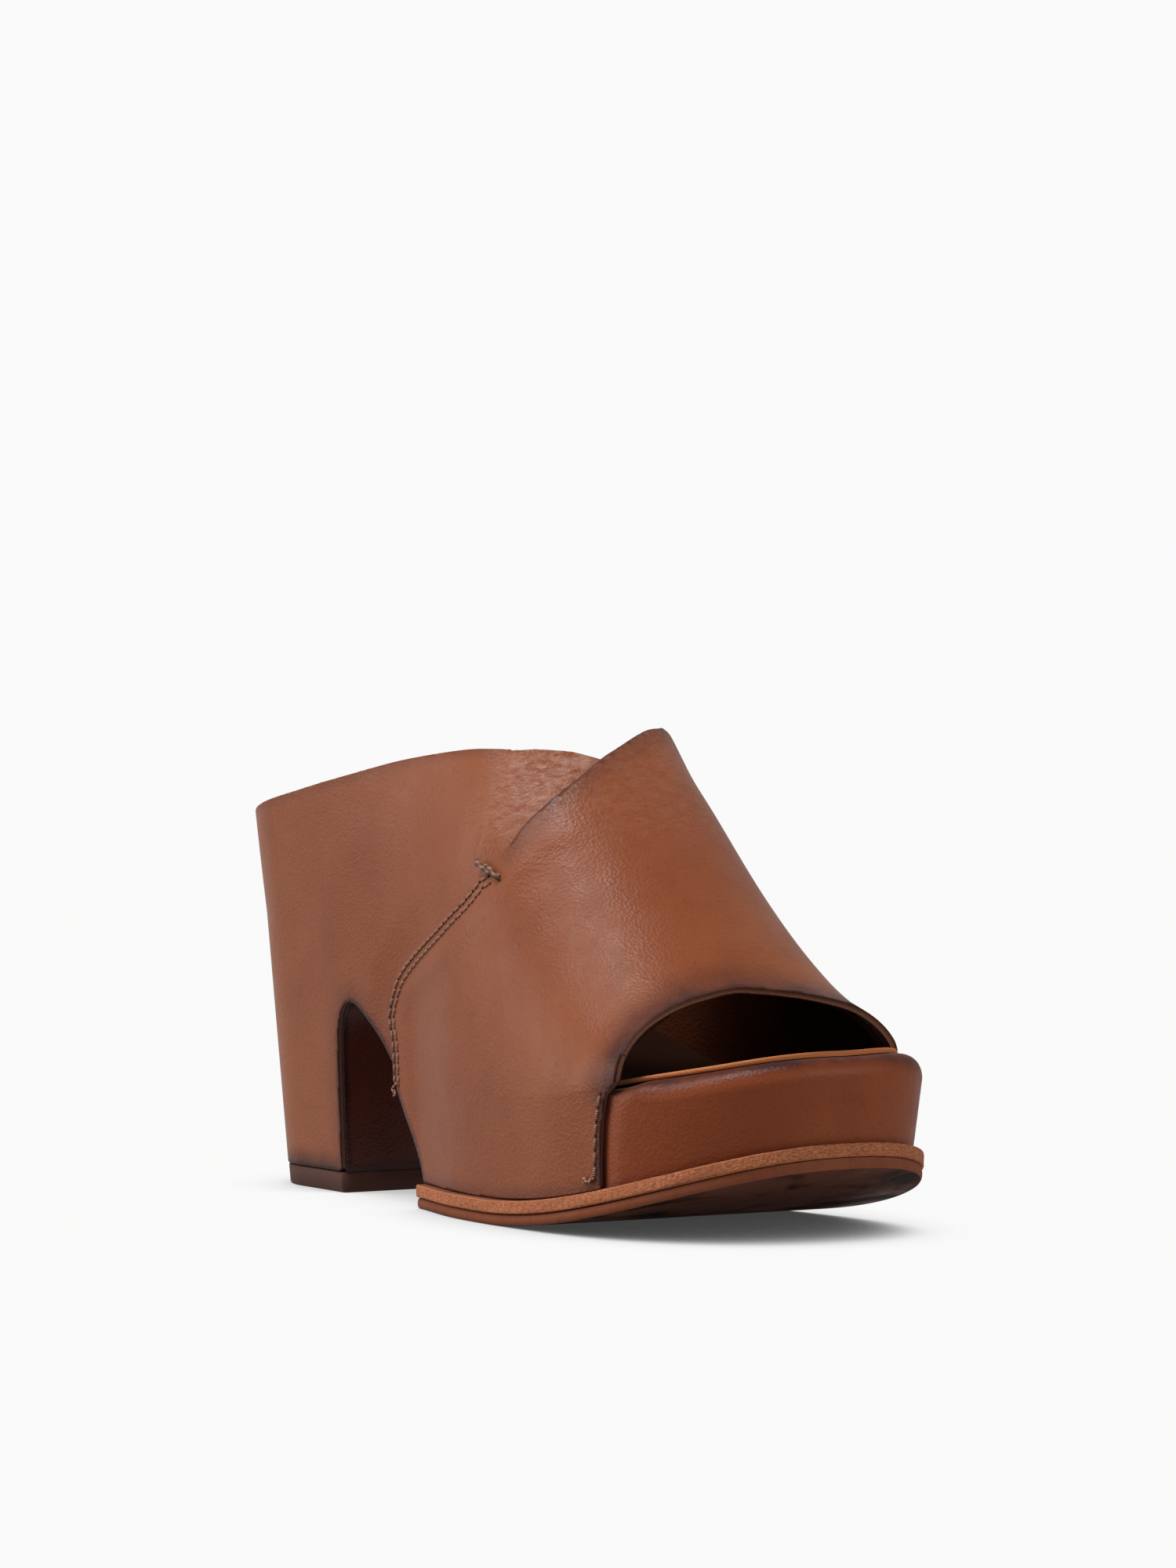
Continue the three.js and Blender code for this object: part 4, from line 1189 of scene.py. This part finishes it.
def rounded(inner, outer, low, high, radius, steps=5):
    """A closed profile with its two outer corners rounded by quarter circles."""
    a = np.radians(np.linspace(-90, 0, steps))
    b = np.radians(np.linspace(0, 90, steps))
    lower = [(outer - radius + radius * np.cos(t), low + radius + radius * np.sin(t)) for t in a]
    upper = [(outer - radius + radius * np.cos(t), high - radius + radius * np.sin(t)) for t in b]
    return [(inner, low), *lower, *upper, (inner, high)]


welt_profile = rounded(-11.0, 2.3, 3.0, 6.4, 0.55, 5)
ring = sole_ring(welt_profile, rough=0.05)
steps = np.linalg.norm(np.diff(ring[:, 3], axis=0), axis=1)
along = np.append(0, np.cumsum(steps))
heights = np.array([h for _, h in welt_profile])
outs = np.array([o for o, _ in welt_profile])
across_welt = np.cumsum(np.append(0, np.linalg.norm(np.diff(np.array(welt_profile), axis=0), axis=1)))
shape = ring.shape[:2]
loft("welt_strip", ring, welt_edge, ["welt"], "welt_leather", caps=True,
     along=np.repeat(along, shape[1]), across=np.tile(across_welt, shape[0]),
     top=np.tile(((heights > 6.2) & (outs < 2.0)).astype(float), shape[0]))


def sole_loops(low, high, outer, radius=0.7, across=48, v_start=WAIST_END, groove=0.0):
    """Loops of the outsole: a flat sheet across each station with rounded edges, following the spring."""
    v, share = stations(2, 90, 120)
    pick = v > v_start + 0.2
    station = np.append(v_start, v[pick])
    ends = []
    for side in (-1, 1):
        x, out = rim_line(v, share, side)
        xs = np.append(np.interp(v_start, v, x), x[pick])
        outs = np.stack([np.interp(station, v, out[:, 0]), np.interp(station, v, out[:, 1])], -1)
        o = wall_out(station, outs, 6) + outer
        ends.append((xs + outs[:, 0] * o, station + outs[:, 1] * o))
    (lx, lv), (rx, rv) = ends
    t = np.linspace(0, 1, across)
    s = 0.5 - 0.5 * np.cos(np.pi * t)
    half = (rx - lx) / 2
    r = np.minimum(radius, half * 0.45)
    x = ((lx + rx) / 2)[:, None] + (2 * s - 1)[None, :] * (half - r)[:, None]
    vv = lv[:, None] + s[None, :] * (rv - lv)[:, None]
    top = np.stack([x, vv, spring(vv) + high], -1)
    bottom = np.stack([x, vv, spring(vv) + low], -1)[:, ::-1]
    bow = np.radians(np.linspace(90, -90, 9)[1:-1])
    h = (low + high) / 2 + (high - low) / 2 * np.sin(bow)
    right = np.stack([(rx - r)[:, None] + r[:, None] * np.cos(bow), np.repeat(rv[:, None], 7, 1),
                      spring(rv)[:, None] + h], -1)
    left = np.stack([(lx + r)[:, None] - r[:, None] * np.cos(bow), np.repeat(lv[:, None], 7, 1),
                     spring(lv)[:, None] + h], -1)[:, ::-1]
    return np.concatenate([top, right, bottom, left], 1)


outsole_loops = sole_loops(0.0, 2.8, 1.9)
edge_rows = np.r_[np.zeros(48), np.ones(7), np.zeros(48), np.ones(7)]
loft("outsole_sheet", outsole_loops, outsole_rubber, ["outsole"], "rubber", caps=True,
     edge_part=np.tile(edge_rows, len(outsole_loops)))


def heel_outline(z, inset, v_front=59.5):
    """The heel's outline at a height: out along one side, round the back and along the other."""
    v, share = stations(60, 60, 4)
    pick = v < v_front - 0.5
    halves = []
    for side in (-1, 1):
        x, out = rim_line(v, share, side)
        o = wall_out(v, out, z) - inset
        xs, vs = x + out[:, 0] * o, v + out[:, 1] * o
        end_x = np.interp(v_front, v, xs)
        halves.append(np.stack([np.append(xs[pick], end_x), np.append(vs[pick], v_front - max(inset - 0.2, 0))], -1))
    outline = np.vstack([halves[0][::-1], halves[1][1:]])
    front = np.linspace(halves[1][-1], halves[0][-1], 20)[1:-1]
    outline = np.vstack([outline, front])
    return np.concatenate([outline, np.full((len(outline), 1), z)], 1)


top_piece_rows = [(0.0, 0.9), (0.15, 0.45), (0.5, 0.2), (5.1, 0.2), (5.5, 0.35), (5.7, 0.8)]
heel_loops = np.stack([heel_outline(z, inset) for z, inset in top_piece_rows])
loft("heel_top_piece_rubber", heel_loops, heel_rubber, ["heel_top_piece"], "rubber", caps=True,
     edge_part=np.repeat([0.0, 0, 1, 1, 1, 1], heel_loops.shape[1]))

# %% [markdown]
# ## The covers in the arch
#
# Two dark leather strips line the arch: one up the front of the heel and one down under the waist. Each
# is a sheet that follows the arch's side-view line and runs from wall to wall.

# %% Cover the arch
COVER = 1.2


def arch_sheet(name, path, replaced):
    """A sheet across the heel along a side-view path, kept between the insides of the two walls."""
    path = spline(path[::2] if len(path) > 60 else path, 2)
    tangent = np.gradient(path, axis=0)
    tangent /= np.linalg.norm(tangent, axis=1)[:, None]
    v, z = path.T
    t = np.linspace(-1, 1, 61)
    reach = LEATHER - 0.15
    low = centre(v) - outside_width(v) + lean(v, 0) * (rim(v) - z) + reach
    high = centre(v) + inside_width(v) - lean(v, 0) * (rim(v) - z) - reach
    x = (low + high)[:, None] / 2 + (high - low)[:, None] / 2 * t[None, :]
    bow = 0.25 * np.abs(t) ** 6
    direction = np.stack([-tangent[:, 1], tangent[:, 0]], -1)
    direction *= np.sign((direction * (np.array([80.0, 20.0]) - path)).sum(1).mean())
    vz = path[:, None] + direction[:, None] * (-0.15 + bow[None, :, None])
    grid = np.concatenate([x[..., None], vz], -1)
    normals = np.zeros_like(grid)
    normals[..., 1:] = direction[:, None]
    flat = grid.reshape(-1, 3)
    return make_sheet(name, (flat, normals.reshape(-1, 3), grid_triangles(*grid.shape[:2])), np.full(len(flat), 1.0),
                      np.zeros(len(flat)), np.full(len(flat), COVER), oxblood_leather, replaced, "dark_leather",
                      [(lambda p: np.ones(len(p), bool), 0.8, 3)])


crown = int(np.argmax(arch[:, 1]))
breast_path = arch[:crown]
waist_path = arch[crown:]
breast_path = np.vstack([[(59.5, 5.75)], breast_path[breast_path[:, 1] > 6.2]])
arch_sheet("breast_cover_leather", breast_path, ["heel_breast_cover"])
arch_sheet("waist_cover_leather", waist_path, ["waist_cover"])

# %% [markdown]
# ## Sewing
#
# Each stitch is its own bead of thread, pulled down into a hole at both ends; in the side and toe seams
# a near-black bead in each hole is painted shade. Two rows close the side seam, a thick bar tack holds
# its top, and single rows hold the toe seams and the back seam.

# %% Places on the leather


def on_leather(side, places, proud):
    """Points and directions on one side of the form at side-view places, raised by proud."""
    half = np.abs(form_directions[:, 0]) > 0.25
    half &= (x_at < centre(v_at)) if side < 0 else (x_at > centre(v_at))
    pool, directions = form_points[half], form_directions[half]
    places = np.asarray(places, float)
    near = np.array([np.argmin(((pool[:, 1:] - p) ** 2).sum(1)) for p in places])
    base, normal = pool[near], directions[near]
    step = places - base[:, 1:]
    x = base[:, 0] - (normal[:, 1] * step[:, 0] + normal[:, 2] * step[:, 1]) / normal[:, 0]
    return np.column_stack([x, places]) + normal * proud, normal


def evenly(path, pitch):
    """A line's points at an even pitch."""
    length = np.append(0, np.cumsum(np.linalg.norm(np.diff(path, axis=0), axis=1)))
    at = np.linspace(0, length[-1], max(2, int(round(length[-1] / pitch)) + 1))
    return np.stack([np.interp(at, length, path[:, k]) for k in range(path.shape[1])], -1)


def beads(starts, ends, normals, radius, sink, rng=None, around=8, rows=7):
    """A capsule of thread from each start to its end, bowed up in the middle and sunk at both ends."""
    axis = ends - starts
    length = np.linalg.norm(axis, axis=1)
    axis = axis / length[:, None]
    side = np.cross(normals, axis)
    side /= np.linalg.norm(side, axis=1)[:, None]
    up = np.cross(axis, side)
    t = np.linspace(0, 1, rows)
    girth = radius * np.sqrt(np.clip(1 - np.abs(2 * t - 1) ** 3.0, 0, 1))
    girth[[0, -1]] = radius * 0.02
    lift = np.sin(np.pi * t) * radius * 0.55 - sink
    a = np.linspace(0, 2 * np.pi, around, endpoint=False)
    ring = (np.cos(a)[None, :, None, None] * side[None, None] + np.sin(a)[None, :, None, None] * up[None, None])
    middle = starts[None] + axis[None] * (t[:, None] * length)[..., None] + up[None] * lift[:, None, None]
    points = middle[:, None] + girth[:, None, None, None] * ring
    points = points.transpose(2, 0, 1, 3)
    faces = grid_triangles(rows, around, wrap=True)
    count = rows * around
    caps = []
    for start, flip in ((0, 1), ((rows - 1) * around, -1)):
        k = start + np.arange(1, around - 1)
        caps.append(np.stack([np.full(len(k), start), k, k + 1], -1)[:, ::flip])
    faces = np.concatenate([faces, *caps])
    all_faces = (faces[None] + (np.arange(len(starts)) * count)[:, None, None]).reshape(-1, 3)
    along = np.tile(np.repeat(t, around), len(starts))
    turn = np.tile(np.tile(a / (2 * np.pi), rows), len(starts))
    return points.reshape(-1, 3), all_faces, along, turn


def stitch_row(name, side, path, pitch, proud, radius, replaced, gap=0.28):
    """A row of beads along a side-view path, with a small near-black bead between neighbours: painted shade in the
    stitch hole.
    """
    at, normal = on_leather(side, evenly(path, pitch), proud)
    run = at[1:] - at[:-1]
    starts, ends = at[:-1] + run * gap / 2, at[1:] - run * gap / 2
    mean = (normal[1:] + normal[:-1]) / 2
    points, faces, along, turn = beads(starts, ends, mean, radius, radius * 0.35)
    unit = run / np.linalg.norm(run, axis=1)[:, None]
    unit = np.vstack([unit, unit[-1]])
    hole, hole_faces, hole_along, hole_turn = beads(at - unit * 0.5, at + unit * 0.5, normal, radius * 0.95, radius * 0.8)
    faces = np.vstack([faces, hole_faces + len(points)])
    dark = np.append(np.zeros(len(points)), np.ones(len(hole)))
    return add_piece(name, np.vstack([points, hole]), faces, brown_thread, replaced, "thread",
                     along=np.append(along, hole_along), around=np.append(turn, hole_turn), hole=dark)


# %% Sew the seams


def beside(path, d):
    """A path moved sideways by d, to its right as it runs."""
    t = np.gradient(path, axis=0)
    t /= np.linalg.norm(t, axis=1)[:, None]
    return path + np.stack([t[:, 1], -t[:, 0]], -1) * d


sewn = seam[(seam[:, 1] > 31) & (seam[:, 1] < 89.6)]
stitch_row("side_seam_row_near", -1, beside(sewn, 1.3), 3.1, 0.62, 0.42, ["quarter_stitch_row_1"])
stitch_row("side_seam_row_far", -1, beside(sewn, 3.6), 3.1, 0.62, 0.42, ["quarter_stitch_row_2"])

toe_run = spline(TOE_SEAM[:4], 10)
toe_run = toe_run[toe_run[:, 1] > sole_top(207) + 2.2] - (1.9, 0)
inner_run = spline(INNER_TOE_SEAM[:4], 10)
inner_run = inner_run[inner_run[:, 1] > sole_top(211) + 2.2] - (1.9, 0)
stitch_row("toe_seam_row_outer", -1, toe_run, 3.4, 0.4, 0.42, ["toe_stitch_row_outer"], gap=0.2)
stitch_row("toe_seam_row_inner", 1, inner_run, 3.4, 0.4, 0.42, ["toe_stitch_row_inner"], gap=0.2)


def cord(name, centre_line, normals, radius, replaced, strands=2, twist=2.0, around=10):
    """Strands wound round one line: each circles it by the twist, and all keep one thickness."""
    tangent = np.gradient(centre_line, axis=0)
    tangent /= np.linalg.norm(tangent, axis=1)[:, None]
    side = np.cross(tangent, normals)
    side /= np.linalg.norm(side, axis=1)[:, None]
    up = np.cross(side, tangent)
    t = np.linspace(0, 1, len(centre_line))
    a = np.linspace(0, 2 * np.pi, around, endpoint=False)
    girth = radius * np.sqrt(np.clip(1 - np.abs(2 * t - 1) ** 10, 0, 1)) + 0.02
    points, faces, along_all, turn_all = [], [], [], []
    for k in range(strands):
        phase = 2 * np.pi * (twist * t + k / strands)
        centre_k = centre_line + (np.cos(phase)[:, None] * side + np.sin(phase)[:, None] * up) * radius * 0.95
        ring = centre_k[:, None] + girth[:, None, None] * (
            np.cos(a)[None, :, None] * side[:, None] + np.sin(a)[None, :, None] * up[:, None])
        base = len(points) * len(t) * around
        f = grid_triangles(len(t), around, wrap=True)
        for start, flip in ((0, 1), ((len(t) - 1) * around, -1)):
            j = start + np.arange(1, around - 1)
            f = np.concatenate([f, np.stack([np.full(len(j), start), j, j + 1], -1)[:, ::flip]])
        faces.append(f + base)
        points.append(ring.reshape(-1, 3))
        along_all.append(np.repeat(t * 0.9, around))
        turn_all.append(np.tile(a / (2 * np.pi), len(t)))
    return np.vstack(points), np.vstack(faces), np.concatenate(along_all), np.concatenate(turn_all)


def make_cord(name, line, normals, radius, replaced, material=None, **options):
    """Puts a twisted cord into the scene."""
    points, faces, along, turn = cord(name, line, normals, radius, replaced, **options)
    return add_piece(name, points, faces, material or brown_thread, replaced, "thread", along=along, around=turn,
                     hole=np.zeros(len(points)))


tack_places = np.array([(141.2, 92.0), (146.6, 90.1), (152.0, 87.7)])
tack_at, tack_normal = on_leather(-1, tack_places, 0.35)
tack_line = spline(tack_at, 12)
tack_t = np.linspace(0, 1, len(tack_line))
tack_directions = np.stack([np.interp(tack_t, [0, 0.5, 1], tack_normal[:, k]) for k in range(3)], -1)
tack_line = tack_line + tack_directions * (2.0 * np.sin(np.pi * tack_t) ** 0.3 - 0.75)[:, None]
make_cord("bar_tack_cord", tack_line, tack_directions, 0.6, ["bar_tack"], material=tack_thread, twist=0.9)


def knot(name, side, places, proud, radius):
    """A loose thread end: a short cord through side-view places, raised a little from the leather."""
    at, normal = on_leather(side, places, proud)
    line = spline(at, 8)
    t, k = np.linspace(0, 1, len(line)), np.linspace(0, 1, len(at))
    directions = np.stack([np.interp(t, k, normal[:, i]) for i in range(3)], -1)
    make_cord(name, line + directions * (0.5 * np.sin(np.pi * t))[:, None], directions, radius, None, twist=0.7)


knot("side_seam_thread_end", -1, [(96.9, 32.5), (95.6, 31.0), (96.4, 29.6), (95.0, 28.9)], 0.5, 0.26)
knot("toe_seam_knot", -1, [(205.4, 15.4), (204.0, 14.0), (202.6, 14.4), (202.0, 13.4)], 0.5, 0.34)

back_at = form[0, :, :]
back_z = np.arange(9.0, 84.5, 0.5)
order = np.argsort(back_at[:130, 2])
back_v = np.interp(back_z, back_at[:130][order, 2], back_at[:130][order, 1])
back_line = evenly(np.column_stack([np.full(len(back_z), 1.7), back_v + 0.05, back_z]), 3.4)
back_normal = np.tile((0.0, -1.0, 0.1), (len(back_line), 1))
run = back_line[1:] - back_line[:-1]
points, faces, along_b, turn_b = beads(back_line[:-1] + run * 0.15, back_line[1:] - run * 0.15, back_normal[1:], 0.38, 0.1)
add_piece("back_seam_row", points, faces, brown_thread, ["back_stitch_row"], "thread", along=along_b, around=turn_b,
          hole=np.zeros(len(points)))

# %% [markdown]
# ## Inside pieces that keep their packed shape
#
# The wood, boards and steel are hidden once the clog is closed, but they still get real finishes, so the
# assembly looks right when it is taken apart.

# %% Finish the hidden pieces


def wood_material():
    """Pale hardwood: long growth rings cut along the shoe, with fine pores."""
    n = Nodes("pale_wood")
    rings = n.noise(30, 4, 0.55, stretch=(3.0, 0.5, 3.0), distortion=0.4)
    pores = n.noise(1500, 2, 0.5, stretch=(1.0, 0.08, 1.0))
    colour = n.mix(n.ramp(rings, 0.35, 0.65), (0.50, 0.30, 0.14), (0.62, 0.41, 0.21))
    colour = n.mix(n.ramp(pores, 0.55, 0.7, 0, 0.5), colour, (0.30, 0.16, 0.07))
    return n.finish(colour, n.ramp(rings, 0.3, 0.7, 0.5, 0.62), n.bump(pores, 0.2, 0.0003))


def board_material():
    """Brown fibreboard: matted short fibres."""
    n = Nodes("brown_board")
    fibres = n.noise(700, 5, 0.7, distortion=1.0)
    colour = n.mix(n.ramp(fibres, 0.35, 0.65), (0.12, 0.06, 0.03), (0.22, 0.12, 0.06))
    return n.finish(colour, n.ramp(fibres, 0.3, 0.7, 0.75, 0.9), n.bump(fibres, 0.3, 0.0004))


def steel_material():
    """Brushed steel: fine lines along the piece."""
    n = Nodes("brushed_steel")
    n.shader.inputs["Metallic"].default_value = 1.0
    lines = n.noise(2500, 3, 0.6, stretch=(1.0, 0.05, 1.0))
    colour = n.mix(n.ramp(lines, 0.3, 0.7), (0.46, 0.46, 0.47), (0.60, 0.60, 0.61))
    return n.finish(colour, n.ramp(lines, 0.3, 0.7, 0.28, 0.42), n.bump(lines, 0.1, 0.0001))


wood, board, steel = wood_material(), board_material(), steel_material()
kept = {"platform_core": wood, "heel_block": wood, "insole_board": board, "sole_filler": board, "shank": steel,
        "heel_screw_1": steel, "heel_screw_2": steel, **{f"top_piece_nail_{i}": steel for i in (1, 2, 3, 4)}}
for name, material in kept.items():
    nodes[name].data.materials.clear()
    nodes[name].data.materials.append(material)
print("kept from the frame:", sorted(kept))

# %% [markdown]
# ## The studio
#
# A plain, nearly white paper ground lies under the clog and darkens only where the sole shuts out the
# light. The room is a dim white tent with one large soft light high on the left, a small one overhead that
# catches the creases of the instep, and a fill in front.

# %% Ground, tent and lights
PAPER = 0.955
GROUND_BOUNCE = 0.42
TENT = 0.34


def paper_ground():
    """A wide sheet whose glow fades where something close above hides the sky, and lights the clog softly."""
    n = Nodes("paper")
    n.tree.nodes.remove(n.shader)
    shade = n.add("ShaderNodeAmbientOcclusion", samples=12)
    shade.inputs["Distance"].default_value = 0.05
    glow = n.add("ShaderNodeEmission")
    glow.inputs["Color"].default_value = (1.0, 0.997, 0.995, 1.0)
    seen = n.add("ShaderNodeLightPath").outputs["Is Camera Ray"]
    level = n.math("ADD", n.math("MULTIPLY", seen, PAPER - GROUND_BOUNCE), GROUND_BOUNCE)
    n.link(n.math("MULTIPLY", n.ramp(shade.outputs["AO"], 0.0, 0.76, 0.05, 1.0), level), glow.inputs["Strength"])
    n.link(glow.outputs[0], n.out.inputs["Surface"])
    corners = [(-6, -6, 0), (6, -6, 0), (6, 6, 0), (-6, 6, 0)]
    mesh = bpy.data.meshes.new("ground")
    mesh.from_pydata(corners, [], [(0, 1, 2, 3)])
    mesh.materials.append(n.material)
    ground = bpy.data.objects.new("ground", mesh)
    scene.collection.objects.link(ground)


def soft_light(name, azimuth, height, distance, size, power):
    """A square soft light at an angle round the clog, turned to face it."""
    data = bpy.data.lights.new(name, "AREA")
    data.size = size
    data.energy = power
    light = bpy.data.objects.new(name, data)
    a = np.radians(azimuth)
    place = np.array([np.sin(a) * distance, -np.cos(a) * distance, height])
    light.location = place
    aim = np.array([0, 0, 0.06]) - place
    pitch = np.arccos(-aim[2] / np.linalg.norm(aim))
    light.rotation_euler = (pitch, 0, np.arctan2(-aim[0], aim[1]))
    scene.collection.objects.link(light)


paper_ground()
world = bpy.data.worlds.new("studio")
world.use_nodes = True
backdrop = world.node_tree.nodes["Background"]
backdrop.inputs["Color"].default_value = (1, 0.999, 0.998, 1)
seen = world.node_tree.nodes.new("ShaderNodeLightPath")
level = world.node_tree.nodes.new("ShaderNodeMath")
level.operation = "MULTIPLY_ADD"
level.inputs[1].default_value, level.inputs[2].default_value = PAPER - TENT, TENT
world.node_tree.links.new(seen.outputs["Is Camera Ray"], level.inputs[0])
world.node_tree.links.new(level.outputs[0], backdrop.inputs["Strength"])
scene.world = world
scene.view_settings.view_transform = "Standard"
soft_light("high_left", -107, 1.15, 0.93, 0.45, 7)
soft_light("overhead", -85, 1.45, 0.48, 0.32, 11)
soft_light("front_fill", 22, 0.55, 1.6, 0.9, 6)
soft_light("side_left", -124, 0.25, 1.5, 0.9, 8.5)
